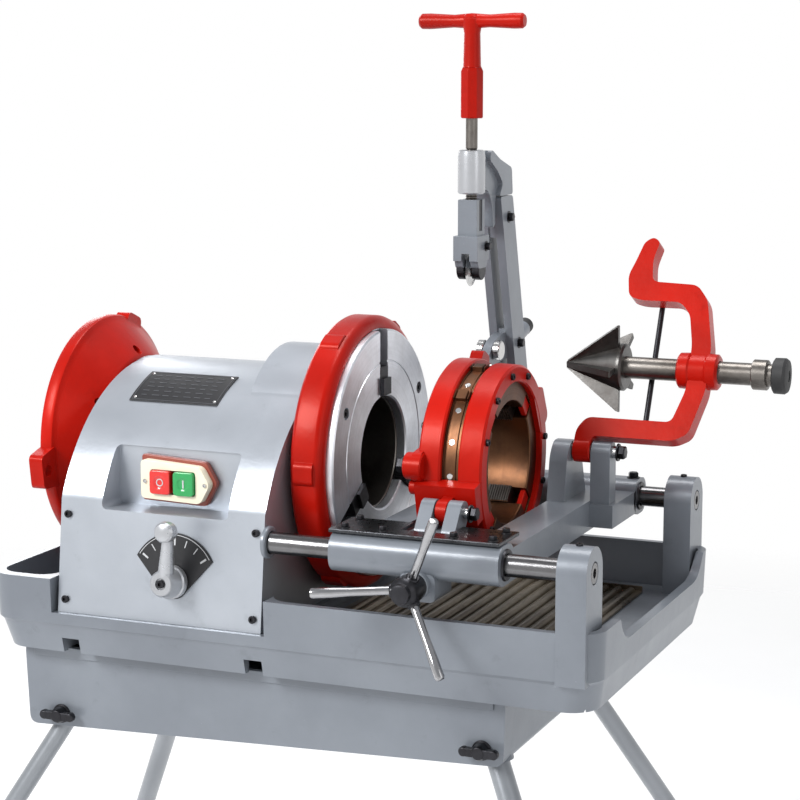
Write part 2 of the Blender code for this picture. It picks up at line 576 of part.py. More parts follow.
def build_rear_chuck(frame):
    body = turned([(-0.345, 0.060), (-0.345, 0.098), (SPINDLE_LEFT - 0.003, 0.098),
                   (SPINDLE_LEFT - 0.003, 0.074), (-0.279, 0.074), (-0.279, SPINDLE_R + GAP),
                   (SPINDLE_LEFT - GAP, SPINDLE_R + GAP), (SPINDLE_LEFT - GAP, 0.060)], 40)
    slots = [radial_box(-0.35, -0.338, 0.02, 0.12, 0.008, a) for a in JAW_ANGLES]
    node("rear_chuck_body", less(body, *slots), "bright_steel", frame)
    wheel = turned([(-0.284, 0.0744), (-0.283, 0.088), (-0.320, 0.126), (-0.324, 0.131),
                    (-0.334, 0.131), (-0.336, 0.124), (-0.331, 0.116), (-0.292, 0.078),
                    (-0.325, 0.0765), (-0.325, 0.0744)], 40)
    lug_angle = 188
    lug = radial_box(-0.336, -0.320, 0.122, 0.152, 0.018, lug_angle)
    second = radial_box(-0.336, -0.320, 0.122, 0.136, 0.014, lug_angle - 120)
    third = radial_box(-0.336, -0.320, 0.122, 0.136, 0.014, lug_angle + 120)
    hole = turned_about_x(rod((-0.35, 0.141, 0), (-0.31, 0.141, 0), 0.0065, 16), lug_angle)
    bolt_holes = [turned_about_x(rod((-0.36, 0.094, 0), (-0.27, 0.094, 0), 0.005, 12), a)
                  for a in range(30, 390, 60)]
    node("rear_chuck_wheel", less(joined(wheel, lug, second, third), hole, *bolt_holes),
         "red_paint", frame)
    for number, angle in enumerate(JAW_ANGLES, 1):
        jaw = radial_box(-0.352, -0.338 - GAP, 0.062, 0.092, 0.0077, angle)
        node(f"rear_jaw_{number}", jaw, "black_steel", frame, smooth=False)


# ---- carriage ----------------------------------------------------------------------
def build_carriage(frame):
    y_in, y_out = SLEEVE_INNER_Y, SLEEVE_OUTER_Y
    front = slab(rounded_rectangle(-y_out, -y_in, SLEEVE_BOTTOM, SLEEVE_TOP, 0.014, 4),
                 CARRIAGE_LEFT, CARRIAGE_RIGHT)
    rear = slab(rounded_rectangle(y_in, y_out, SLEEVE_BOTTOM, SLEEVE_TOP, 0.014, 4),
                CARRIAGE_LEFT + 0.009, 0.236)
    left_beam = box((0.045, -y_in - 0.005, -0.084), (0.075, y_in + 0.005, -0.052))
    right_beam = box((0.168, -y_in - 0.005, -0.084), (0.210, y_in + 0.005, -0.052))
    feed_box = box((FEED_X - 0.018, -y_out, -0.102), (FEED_X + 0.018, -y_in, SLEEVE_BOTTOM + 0.01))
    feed_boss = rod((FEED_X, -y_out + 0.002, FEED_Z), (FEED_X, -0.214, FEED_Z), 0.014)
    lugs = []
    for x0, x1 in ((0.104, 0.1185), (0.1325, 0.147)):
        outline = capsule(DIE_HINGE, (DIE_HINGE[0] - 0.015, DIE_HINGE[1] - 0.020), 0.012)
        lugs.append(slab(outline, x0, x1))
    lug_foot = box((0.100, -0.170, -0.070), (0.151, -0.118, SLEEVE_TOP - 0.002))
    hinge_pin = rod((0.105, *DIE_HINGE), (0.153, *DIE_HINGE), 0.0055, 20)
    upright = slab([(0.062, -0.060), (0.072, -0.004), (0.084, 0.010), (0.106, 0.010),
                    (0.120, -0.004), (0.140, -0.060)], 0.168, 0.1875)
    yoke = joined(box((0.2095, 0.084, -0.060), (0.231, 0.106, 0.0)),
                  rod((0.2095, *REAM_PIVOT), (0.231, *REAM_PIVOT), 0.011))
    shelf = box((0.205, 0.080, -0.080), (0.236, y_in + 0.006, -0.055))
    ream_pin = rod((0.175, *REAM_PIVOT), (0.236, *REAM_PIVOT), 0.0065, 20)
    ears = []
    for x0, x1 in ((0.0455, 0.0528), (0.0672, 0.0745)):
        ears.append(slab(capsule(CUT_PIVOT, (CUT_PIVOT[0] - 0.004, CUT_PIVOT[1] - 0.035), 0.0105),
                         x0, x1))
    cut_pin = rod((0.046, *CUT_PIVOT), (0.074, *CUT_PIVOT), 0.005, 20)
    solid = joined(front, rear, left_beam, right_beam, feed_box, feed_boss, lug_foot, *lugs,
                   hinge_pin, upright, yoke, shelf, ream_pin, *ears, cut_pin)
    rail_bores = [rod((0.0, s * RAIL_Y, RAIL_Z), (0.28, s * RAIL_Y, RAIL_Z), RAIL_R + GAP, 24)
                  for s in (-1, 1)]
    pocket = rod((FEED_X, -RAIL_Y - 0.0093, FEED_Z), (FEED_X, -RAIL_Y + 0.0093, FEED_Z), 0.0128)
    shaft = rod((FEED_X, -0.23, FEED_Z), (FEED_X, -RAIL_Y, FEED_Z), 0.006 + GAP)
    node("carriage", less(solid, *rail_bores, pocket, shaft), "grey_paint", frame)
    sheet = box((0.033, -0.198, SLEEVE_TOP + GAP), (0.210, -0.140, SLEEVE_TOP + 0.004))
    opening = box((0.100, -0.1755, -0.06), (0.151, -0.13, 0.0))
    node("carriage_plate", less(sheet, opening), "oily_steel", frame, smooth=False)


def build_feed(frame):
    z = FEED_Z
    pinion = gear(-RAIL_Y - 0.009, -RAIL_Y + 0.009, FEED_TEETH, FEED_MODULE, (0.0, 0.0),
                  math.radians(90), True)
    turn = Matrix.Rotation(math.radians(90), 3, "Z")
    bmesh.ops.rotate(pinion, verts=pinion.verts[:], cent=(0, 0, 0), matrix=turn)
    bmesh.ops.translate(pinion, verts=pinion.verts[:], vec=(FEED_X, 0, z))
    stub = rod((FEED_X, -0.2155, z), (FEED_X, -RAIL_Y, z), 0.006)
    hub = joined(rod((FEED_X, -0.2460, z), (FEED_X, -0.2145, z), 0.0145),
                 rod((FEED_X, -0.2510, z), (FEED_X, -0.2455, z), 0.009, 20))
    rods = []
    for k in range(3):
        a = math.radians(62.5 + 120 * k)
        out = Vector((math.cos(a), -0.40, math.sin(a)))
        start = Vector((FEED_X, -0.228, z)) + out * 0.008
        rods.append(rod(start, Vector((FEED_X, -0.228, z)) + out * 0.088, 0.0048, 16))
    node("feed_handle", joined(hub, stub, pinion, *rods), "bright_steel", frame,
         pivot=(FEED_X, -0.2145, z))


# ---- die head ----------------------------------------------------------------------
def build_die_head(frame):
    plates = turned([(DIE_LEFT, DIE_BORE), (DIE_LEFT, DIE_OUTER), (0.103, DIE_OUTER),
                     (0.103, 0.080), (0.140, 0.080), (0.140, 0.100), (DIE_RIGHT, 0.100),
                     (DIE_RIGHT, DIE_BORE)], 40)
    heading = math.degrees(math.atan2(DIE_HINGE[1], DIE_HINGE[0]))
    block = less(radial_box(DIE_LEFT + 0.001, DIE_RIGHT - 0.001, 0.090, 0.114, 0.020, heading),
                 tube(0.1025, 0.1405, 0.0, 0.0995))
    eye = rod((0.1195, *DIE_HINGE), (0.1315, *DIE_HINGE), 0.0115)
    neck = radial_box(0.1200, 0.1310, 0.106, math.hypot(*DIE_HINGE), 0.0095, heading)
    boss = turned_about_x(rod((0.0765, 0.104, 0), (0.096, 0.104, 0), 0.014), 175)
    bulge = radial_box(0.1415, DIE_RIGHT - 0.0005, 0.080, 0.108, 0.022, 28)
    lever = radial_box(DIE_LEFT + 0.0005, 0.1025, 0.095, 0.118, 0.012, 62)
    body = joined(plates, block, neck, eye, boss, bulge, lever)
    windows = [radial_box(0.108, 0.134, 0.05, 0.083, 0.010, a) for a in DIE_ANGLES]
    pin = rod((0.10, *DIE_HINGE), (0.15, *DIE_HINGE), 0.0055 + GAP, 20)
    bolt = turned_about_x(rod((0.07, 0.104, 0), (0.084, 0.104, 0), 0.006, 12), 175)
    node("die_head_body", less(body, *windows, pin, bolt), "red_paint", frame,
         pivot=(0.0, *DIE_HINGE))
    cam = tube(0.103 + GAP, 0.140 - GAP, 0.0804, 0.0985, 40)
    grips = [radial_box(0.108, 0.134, 0.094, 0.1035, 0.006, a) for a in (100, 130)]
    node("die_cam_ring", joined(cam, *grips), "bronze", frame)
    for number, angle in enumerate(DIE_ANGLES, 1):
        die = radial_box(0.108 + GAP, 0.134 - GAP, 0.059, 0.0788, 0.0097, angle)
        node(f"die_{number}", die, "oily_steel", frame, smooth=False)


# ---- cutter ------------------------------------------------------------------------
def column_outline(low, high, inset):
    """Side outline (y, z) of the leaning cutter column between two heights."""
    def near(z):
        return CUT_COLUMN_Y - CUT_COLUMN_LEAN * z

    return [(near(low) + inset, low), (near(low) + CUT_COLUMN_WIDE - inset, low),
            (near(high) + CUT_COLUMN_WIDE - inset, high), (near(high) + inset, high)]


def build_cutter(frame):
    x0, x1 = CUT_X - CUT_HALF, CUT_X + CUT_HALF
    foot = slab([(0.133, -0.030), (0.140, -0.0405), (0.152, -0.0415), (0.255, -0.030),
                 (0.284, 0.005), (0.282, 0.030), (0.245, 0.020), (0.205, 0.0), (0.150, -0.018),
                 (0.138, -0.021)], CUT_X - 0.0068, CUT_X + 0.0068)
    rails = [slab(column_outline(0.0, CUT_COLUMN_TOP, 0.0), a, b)
             for a, b in ((x0 + 0.001, x0 + 0.0105), (x1 - 0.0105, x1 - 0.001))]
    ties = [slab(column_outline(low, high, 0.0025), x0 + 0.002, x1 - 0.002)
            for low, high in ((0.004, 0.040), (0.075, 0.110), (0.215, 0.258))]
    bracket = slab([(0.226, 0.076), (0.226, 0.106), (0.200, 0.106), (0.175, 0.098),
                    (0.122, 0.046), (0.100, 0.046), (0.100, 0.036), (0.128, 0.034),
                    (0.186, 0.074)], CUT_X - 0.005, CUT_X + 0.005)
    stub = rod((CUT_X, 0.236, 0.088), (CUT_X, 0.300, 0.105), 0.0095, 20)
    arm = joined(foot, *rails, *ties, bracket, stub)
    pivot_bore = rod((x0 - 0.01, *CUT_PIVOT), (x1 + 0.01, *CUT_PIVOT), 0.005 + GAP, 20)
    axles = roller_places()
    bores = [rod((x0, *place), (x1, *place), 0.0028, 16) for place in axles]
    node("cutter_arm", less(arm, pivot_bore, *bores), "grey_paint", frame,
         pivot=(CUT_X, *CUT_PIVOT))
    build_cutter_head(frame, x0, x1)
    for number, place in enumerate(axles, 1):
        pair = joined(rod((x0 + 0.001, *place), (CUT_X - 0.0056, *place), 0.011, 28),
                      rod((CUT_X + 0.0056, *place), (x1 - 0.001, *place), 0.011, 28),
                      rod((x0 + 0.002, *place), (x1 - 0.002, *place), 0.0025, 16))
        node(f"cutter_roller_{number}", pair, "bright_steel", frame, pivot=(CUT_X, *place))


def roller_places():
    """Centres (y, z) of the two support rollers under the pipe's place."""
    return ((0.180, 0.090), (0.112, 0.041))


def build_cutter_head(frame, x0, x1):
    y = CUT_SCREW_Y
    casting = slab([(y - 0.016, 0.271), (y - 0.016, 0.313), (y + 0.026, 0.315), (y + 0.050, 0.303),
                    (y + 0.090, 0.292), (y + 0.094, 0.2625), (y + 0.052, 0.2625), (y + 0.053, 0.230),
                    (y + 0.046, 0.226), (y + 0.043, 0.250), (y + 0.033, 0.268), (y + 0.019, 0.271)],
                   x0 + 0.001, x1 - 0.001)
    boss = rod((CUT_X, y, 0.268), (CUT_X, y, 0.3155), 0.0149, 28)
    screw_bore = rod((CUT_X, y, 0.24), (CUT_X, y, 0.33), 0.0065 + GAP)
    node("cutter_head", less(joined(casting, boss), screw_bore), "grey_paint", frame,
         pivot=(CUT_X, y, 0.29))
    screw = joined(rod((CUT_X, y, 0.2235), (CUT_X, y, 0.440), 0.0065),
                   rod((CUT_X, y, 0.349), (CUT_X, y, 0.402), 0.0125, 8),
                   rod((CUT_X, y, 0.400), (CUT_X, y, 0.450), 0.0125, 20, 0.010),
                   rod((CUT_X - 0.060, y, 0.452), (CUT_X + 0.060, y, 0.452), 0.0085, 20))
    node("cutter_screw", screw, "red_paint", frame, pivot=(CUT_X, y, 0.35))
    block = joined(box((CUT_X - 0.014, y - 0.018, 0.190), (CUT_X + 0.014, y + 0.018, 0.223)),
                   box((CUT_X - 0.013, y - 0.012, 0.178), (CUT_X - 0.0045, y + 0.012, 0.192)),
                   box((CUT_X + 0.0045, y - 0.012, 0.178), (CUT_X + 0.013, y + 0.012, 0.192)),
                   box((CUT_X - 0.011, y - 0.012, 0.222), (CUT_X + 0.011, y + 0.012, 0.262)))
    well = rod((CUT_X, y, 0.2232), (CUT_X, y, 0.27), 0.0070)
    room = box((CUT_X - 0.0045, y - 0.02, 0.17), (CUT_X + 0.0045, y + 0.02, 0.204))
    axle = rod((CUT_X - 0.02, y, 0.185), (CUT_X + 0.02, y, 0.185), 0.0028, 16)
    node("cutter_wheel_holder", less(block, well, room, axle), "grey_paint", frame,
         pivot=(CUT_X, y, 0.206), smooth=False)
    wheel = turned([(CUT_X - 0.0035, 0.0), (CUT_X - 0.0035, 0.010), (CUT_X - 0.001, 0.013),
                    (CUT_X, 0.0175), (CUT_X + 0.001, 0.013), (CUT_X + 0.0035, 0.010),
                    (CUT_X + 0.0035, 0.0)], 32, (y, 0.185))
    pin = rod((CUT_X - 0.012, y, 0.185), (CUT_X + 0.012, y, 0.185), 0.0025, 16)
    node("cutter_wheel", joined(wheel, pin), "bright_steel", frame, pivot=(CUT_X, y, 0.185))


# ---- reamer ------------------------------------------------------------------------
def leaned(shape):
    """Lean a shape that was modelled with the reamer arm straight up."""
    return turned_about_x(shape, -math.degrees(REAM_LEAN), REAM_PIVOT)


def build_reamer(frame):
    y, z = REAM_PIVOT
    half = 0.011
    eye = rod((0.189, y, z), (0.208, y, z), 0.013)
    path = [(0.189, 0.0), (0.208, 0.0), (0.2085, 0.0135), (0.296, 0.0135), (0.310, 0.022),
            (0.324, 0.070), (0.324, 0.120), (0.312, 0.172), (0.300, 0.188), (0.250, 0.190),
            (0.247, 0.215), (0.252, 0.236), (0.244, 0.241), (0.235, 0.235), (0.228, 0.212),
            (0.222, 0.196), (0.226, 0.172), (0.240, 0.168), (0.284, 0.168), (0.296, 0.155),
            (0.303, 0.120), (0.303, 0.070), (0.292, 0.034), (0.200, 0.034), (0.190, 0.020)]
    frame_bar = slab([(x, z + s) for x, s in path], y - half, y + half, "Y")
    hub = rod((0.290, y, z + REAM_ARM), (0.334, y, z + REAM_ARM), 0.019)
    bore = rod((0.28, y, z + REAM_ARM), (0.35, y, z + REAM_ARM), 0.012 + GAP)
    pivot_bore = rod((0.18, y, z), (0.22, y, z), 0.0065 + GAP)
    arm = leaned(less(joined(eye, frame_bar, hub), bore, pivot_bore))
    node("reamer_arm", arm, "red_paint", frame, pivot=(0.200, y, z))
    side = y + half + 0.0055
    ends = [rod((0.257, y + half + GAP, z + s), (0.257, side + 0.003, z + s), 0.0045, 12)
            for s in (0.024, 0.179)]
    stay = leaned(joined(rod((0.257, side, z + 0.018), (0.257, side, z + 0.185), 0.003, 12), *ends))
    node("reamer_stay_rod", stay, "black_steel", frame)
    shaft = joined(rod((0.228, *REAM_AXIS), (0.405, *REAM_AXIS), 0.012),
                   rod((0.370, *REAM_AXIS), (0.386, *REAM_AXIS), 0.016),
                   rod((0.392, *REAM_AXIS), (0.408, *REAM_AXIS), 0.019))
    node("reamer_shaft", shaft, "bright_steel", frame, pivot=(0.228, *REAM_AXIS))
    core = rod((0.166, *REAM_AXIS), (0.226, *REAM_AXIS), 0.006, 20, 0.026)
    fins = []
    for k in range(5):
        fin = slab([(0.0, 0.004), (0.062, 0.050), (0.0615, 0.0), (0.0, 0.0)], -0.0035, 0.0035, "Y")
        bmesh.ops.translate(fin, verts=fin.verts[:], vec=(0.1655, 0, 0))
        turned_about_x(fin, 72 * k + 20)
        bmesh.ops.translate(fin, verts=fin.verts[:], vec=(0, *REAM_AXIS))
        fins.append(fin)
    node("reamer_cone", joined(core, *fins), "black_steel", frame, pivot=(0.200, *REAM_AXIS),
         smooth=False)


def build():
    clear_scene()
    frame = bpy.data.objects.new("spindle_frame", None)
    bpy.context.scene.collection.objects.link(frame)
    frame.location = SPINDLE_PLACE
    for make in (build_bed, build_tank, build_stand, build_rails, build_chip_tray,
                 build_headstock_cover, build_headstock_frame, build_drive, build_controls,
                 build_front_chuck, build_rear_chuck, build_carriage, build_feed, build_die_head,
                 build_cutter, build_reamer):
        make(frame)


build()
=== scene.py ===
import math

import bmesh
import bpy
from mathutils import Matrix, Vector


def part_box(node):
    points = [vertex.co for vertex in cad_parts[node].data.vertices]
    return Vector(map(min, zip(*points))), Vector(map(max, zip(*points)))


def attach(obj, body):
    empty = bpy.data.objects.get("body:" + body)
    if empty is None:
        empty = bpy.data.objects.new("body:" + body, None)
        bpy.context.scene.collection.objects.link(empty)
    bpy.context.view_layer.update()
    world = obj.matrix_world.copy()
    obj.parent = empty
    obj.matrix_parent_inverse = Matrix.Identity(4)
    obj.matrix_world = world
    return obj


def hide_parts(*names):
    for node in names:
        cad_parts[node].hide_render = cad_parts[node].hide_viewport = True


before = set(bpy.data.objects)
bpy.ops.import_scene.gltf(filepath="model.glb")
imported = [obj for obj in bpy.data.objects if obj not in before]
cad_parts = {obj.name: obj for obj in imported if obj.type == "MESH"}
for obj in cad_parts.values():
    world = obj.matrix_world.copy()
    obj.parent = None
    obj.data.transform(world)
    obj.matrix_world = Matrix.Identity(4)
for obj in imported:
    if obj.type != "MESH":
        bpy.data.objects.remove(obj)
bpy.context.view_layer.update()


# ---- the spindle frame, read from the CAD -------------------------------------------
def span(node):
    low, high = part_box(node)
    return Vector(low), Vector(high)


SPINDLE_LOW, SPINDLE_HIGH = span("spindle")
RING_LOW, RING_HIGH = span("chuck_handwheel")
ORIGIN = Vector((RING_HIGH.x, (SPINDLE_LOW.y + SPINDLE_HIGH.y) / 2,
                 (SPINDLE_LOW.z + SPINDLE_HIGH.z) / 2))


def local(node):
    """A CAD node's low and high corners, measured from the spindle's place."""
    low, high = span(node)
    return low - ORIGIN, high - ORIGIN


FLOOR = -ORIGIN.z
BORE = 0.0585
SPINDLE_R = (SPINDLE_HIGH.z - SPINDLE_LOW.z) / 2
RING_R = local("chuck_handwheel")[1].z
DISC_R = local("chuck_body")[1].z
CHUCK_FACE = local("chuck_body")[1].x
HEAD_LEFT, HEAD_RIGHT = local("headstock_cover")[0].x, local("headstock_cover")[1].x
HEAD_FOOT_Y, HEAD_SHOULDER_Y, HEAD_FOOT = 0.200, 0.187, -0.154
ARCH_R, ARCH_Z, COLLAR_LEFT = 0.203, -0.115, -0.105
COLLAR_R = local("headstock_cover")[1].z
HEAD_SHOULDER = ARCH_Z + math.sqrt(ARCH_R ** 2 - HEAD_SHOULDER_Y ** 2)
RECESS_X, RECESS_Z, RECESS_BACK = (-0.227, -0.082), (-0.044, 0.018), -0.150
BED_LEFT, BED_RIGHT = local("bed_casting")[0].x, local("bed_casting")[1].x
BED_TOP, BED_BOTTOM = -0.118, local("bed_casting")[0].z
BED_TOP_Y, BED_BOTTOM_Y, BED_WALL = 0.208, 0.195, 0.008
TRAY_FLOOR = -0.165
RAIL_Y, RAIL_Z = 0.183, -0.0634
RAIL_R = (local("rear_rail")[1].z - local("rear_rail")[0].z) / 2
RAIL_LEFT, RAIL_RIGHT = local("rear_rail")[0].x, local("rear_rail")[1].x
POST_LEFT, POST_TOP, POST_HALF = 0.270, -0.038, 0.025
TANK_FRONT, TANK_BACK = local("oil_tank")[0].y, local("oil_tank")[1].y
TANK_LEFT, TANK_RIGHT = local("oil_tank")[0].x, local("oil_tank")[1].x
TANK_TOP, TANK_DEEP, TANK_SHALLOW = -0.1985, local("oil_tank")[0].z, -0.267
LEG_R, LEG_TOP, LEG_SPLAY_X, LEG_SPLAY_Y = 0.0125, -0.222, 0.53, 0.42
LEG_ROOTS = {"front_left": (-0.262, -0.126), "front_right": (0.170, -0.134),
             "rear_left": (-0.262, 0.101), "rear_right": (0.170, 0.109)}
JAW_ANGLES = (90, 210, 330)
DIE_ANGLES = (45, 135, 225, 315)
DIE_HINGE = (-0.125, -0.030)
FEED_X, FEED_Z = 0.130, -0.0852
CUT_X, CUT_HALF, CUT_Y, CUT_PIVOT = 0.060, 0.015, 0.118, (0.145, -0.030)
CUT_COLUMN_Y, CUT_COLUMN_WIDE, CUT_COLUMN_LEAN = 0.242, 0.040, 0.267
REAM_PIVOT, REAM_ARM, REAM_LEAN = (0.095, 0.0), 0.095, 26.0
REAM_AXIS = (REAM_PIVOT[0] + REAM_ARM * math.sin(math.radians(REAM_LEAN)),
             REAM_ARM * math.cos(math.radians(REAM_LEAN)))
FACE_LEAN = math.atan2(HEAD_FOOT_Y - HEAD_SHOULDER_Y, HEAD_SHOULDER - HEAD_FOOT)
FACE_NORMAL = Vector((0, -math.cos(FACE_LEAN), math.sin(FACE_LEAN)))
CUT_LEFT, CUT_RIGHT = CUT_X - CUT_HALF, CUT_X + CUT_HALF
SKIN = 0.0006
# GAP: play between neighbouring parts. FAR: beyond the sides, for shapes that cut right through.
GAP, FAR = 0.0003, 0.25
# The height of both switch buttons, and the middle of the speed dial as (x, z).
KEY_Z, DIAL = -0.015, (-0.140, -0.110)
SCREW_ANGLES = (30, 150, 270)
UP = Vector((0, 0, 1))
FRAME = "machine_frame"


# ---- materials ----------------------------------------------------------------------
class Nodes:
    """A small helper that builds one procedural material."""

    def __init__(self, name, roughness, metallic):
        self.made = bpy.data.materials.new(name)
        self.made.use_nodes = True
        self.tree = self.made.node_tree
        self.shader = self.tree.nodes["Principled BSDF"]
        self.shader.inputs["Metallic"].default_value = metallic
        self.shader.inputs["Roughness"].default_value = roughness
        self.place = self.tree.nodes.new("ShaderNodeTexCoord").outputs["Object"]

    def add(self, kind, **values):
        made = self.tree.nodes.new(kind)
        for key, value in values.items():
            setattr(made, key, value)
        return made

    def join(self, source, target):
        self.tree.links.new(source, target)

    def noise(self, scale, detail=4.0, rough=0.55, stretch=(1, 1, 1), where=None):
        """Noise from 0 to 1 over the object's own coordinates."""
        mapping = self.add("ShaderNodeMapping")
        mapping.inputs["Scale"].default_value = stretch
        self.join(where or self.place, mapping.inputs["Vector"])
        made = self.add("ShaderNodeTexNoise")
        made.inputs["Scale"].default_value = scale
        made.inputs["Detail"].default_value = detail
        made.inputs["Roughness"].default_value = rough
        self.join(mapping.outputs["Vector"], made.inputs["Vector"])
        return made.outputs["Fac"]

    def ramp(self, source, *stops):
        """A colour ramp; stops are (position, colour or grey)."""
        made = self.add("ShaderNodeValToRGB")
        cells = made.color_ramp.elements
        while len(cells) < len(stops):
            cells.new(0.5)
        for cell, (position, colour) in zip(cells, stops):
            cell.position = position
            grey = isinstance(colour, (int, float))
            cell.color = (colour, colour, colour, 1) if grey else (*colour, 1)
        self.join(source, made.inputs["Fac"])
        return made.outputs["Color"]

    def mix(self, share, first, second):
        """First turning into second by share; each is a socket, a colour or a number."""
        made = self.add("ShaderNodeMix", data_type="RGBA")
        for value, socket in ((share, 0), (first, 6), (second, 7)):
            if isinstance(value, (int, float)):
                made.inputs[socket].default_value = value
            elif isinstance(value, tuple):
                made.inputs[socket].default_value = (*value, 1)
            else:
                self.join(value, made.inputs[socket])
        return made.outputs[2]

    def rings(self):
        """Fine rings round the spindle, as a lathe leaves them."""
        away = self.add("ShaderNodeVectorMath", operation="SUBTRACT")
        away.inputs[1].default_value = ORIGIN
        self.join(self.place, away.inputs[0])
        flat = self.add("ShaderNodeVectorMath", operation="MULTIPLY")
        flat.inputs[1].default_value = (0, 1, 1)
        self.join(away.outputs[0], flat.inputs[0])
        radius = self.add("ShaderNodeVectorMath", operation="LENGTH")
        self.join(flat.outputs[0], radius.inputs[0])
        split = self.add("ShaderNodeSeparateXYZ")
        self.join(away.outputs[0], split.inputs[0])
        spread = self.add("ShaderNodeCombineXYZ")
        self.join(radius.outputs["Value"], spread.inputs[0])
        self.join(split.outputs[0], spread.inputs[1])
        return self.noise(900.0, 2.0, 0.6, where=spread.outputs[0])

    def colour(self, source):
        self.join(source, self.shader.inputs["Base Color"])

    def rough(self, source, low, high):
        made = self.add("ShaderNodeMapRange")
        made.inputs["To Min"].default_value = low
        made.inputs["To Max"].default_value = high
        self.join(source, made.inputs["Value"])
        self.join(made.outputs[0], self.shader.inputs["Roughness"])

    def bump(self, *layers):
        """Bump layers of (height, strength, distance in metres), chained."""
        normal = None
        for height, strength, distance in layers:
            made = self.add("ShaderNodeBump")
            made.inputs["Strength"].default_value = strength
            made.inputs["Distance"].default_value = distance
            self.join(height, made.inputs["Height"])
            if normal is not None:
                self.join(normal, made.inputs["Normal"])
            normal = made.outputs["Normal"]
        self.join(normal, self.shader.inputs["Normal"])


def enamel(name, colour, shade, worn, rough=(0.28, 0.45), metallic=0.0, coat=0.0, cast=0.35,
           shine=0.4, tint=(1.0, 1.0, 1.0)):
    """Sprayed enamel over a casting: uneven tone, oily grime and small dull rubs."""
    m = Nodes(name, rough[0], metallic)
    cloud = m.noise(7.0, 5.0)
    tone = m.mix(m.ramp(cloud, (0.35, 0), (0.7, 1)), shade, colour)
    grime = m.ramp(m.noise(30.0, 8.0, 0.68), (0.60, 0), (0.82, 0.50))
    tone = m.mix(grime, tone, tuple(c * 0.60 for c in shade))
    rubs = m.ramp(m.noise(110.0, 6.0, 0.7), (0.69, 0), (0.74, 0.75))
    m.colour(m.mix(rubs, tone, worn))
    m.rough(m.noise(22.0, 6.0, 0.6), *rough)
    m.bump((m.noise(420.0, 3.0), 0.10, 0.0004), (m.noise(70.0, 5.0), cast, 0.0006))
    m.shader.inputs["Specular IOR Level"].default_value = shine
    m.shader.inputs["Specular Tint"].default_value = (*tint, 1)
    m.shader.inputs["Coat Weight"].default_value = coat
    m.shader.inputs["Coat Roughness"].default_value = 0.12
    return m.made


def steel(name, colour, dark, rough=(0.18, 0.38), stretch=(1, 1, 1), turned_marks=False, stain=0.5):
    """Bare machined metal with tool marks, oil film and darker stains."""
    m = Nodes(name, rough[0], 1.0)
    stains = m.ramp(m.noise(26.0, 7.0, 0.65), (0.42, 0), (0.74, stain))
    marks = m.rings() if turned_marks else m.noise(260.0, 3.0, 0.6, stretch)
    tone = m.mix(stains, colour, dark)
    m.colour(m.mix(m.ramp(marks, (0.3, 0.0), (0.75, 0.35)), tone, tuple(c * 0.7 for c in colour)))
    m.rough(marks, *rough)
    m.bump((marks, 0.22, 0.0003), (m.noise(60.0, 4.0), 0.12, 0.0005))
    return m.made


def plastic(name, colour, rough=(0.30, 0.42), coat=0.0):
    """Moulded plastic or rubber: faint mottling, fine grain and dust."""
    m = Nodes(name, rough[0], 0.0)
    dust = m.ramp(m.noise(55.0, 8.0, 0.7), (0.55, 0), (0.85, 0.25))
    dusty = tuple(min(1.0, c * 0.8 + 0.05) for c in colour)
    m.colour(m.mix(dust, colour, dusty))
    m.rough(m.noise(90.0, 4.0), *rough)
    m.bump((m.noise(700.0, 2.0), 0.12, 0.0002))
    m.shader.inputs["Coat Weight"].default_value = coat
    return m.made


def oily_tray():
    """Brown sheet steel, wet with cutting oil in pools and streaks."""
    m = Nodes("oily_tray", 0.3, 0.75)
    pools = m.noise(14.0, 6.0, 0.6, (1, 0.5, 1))
    tone = m.ramp(pools, (0.30, (0.050, 0.034, 0.020)), (0.52, (0.150, 0.120, 0.085)),
                  (0.75, (0.36, 0.31, 0.24)))
    m.colour(m.mix(m.ramp(m.noise(120.0, 6.0), (0.55, 0), (0.8, 0.6)), tone, (0.06, 0.045, 0.03)))
    m.rough(pools, 0.12, 0.5)
    m.bump((m.noise(80.0, 5.0), 0.35, 0.0008))
    return m.made


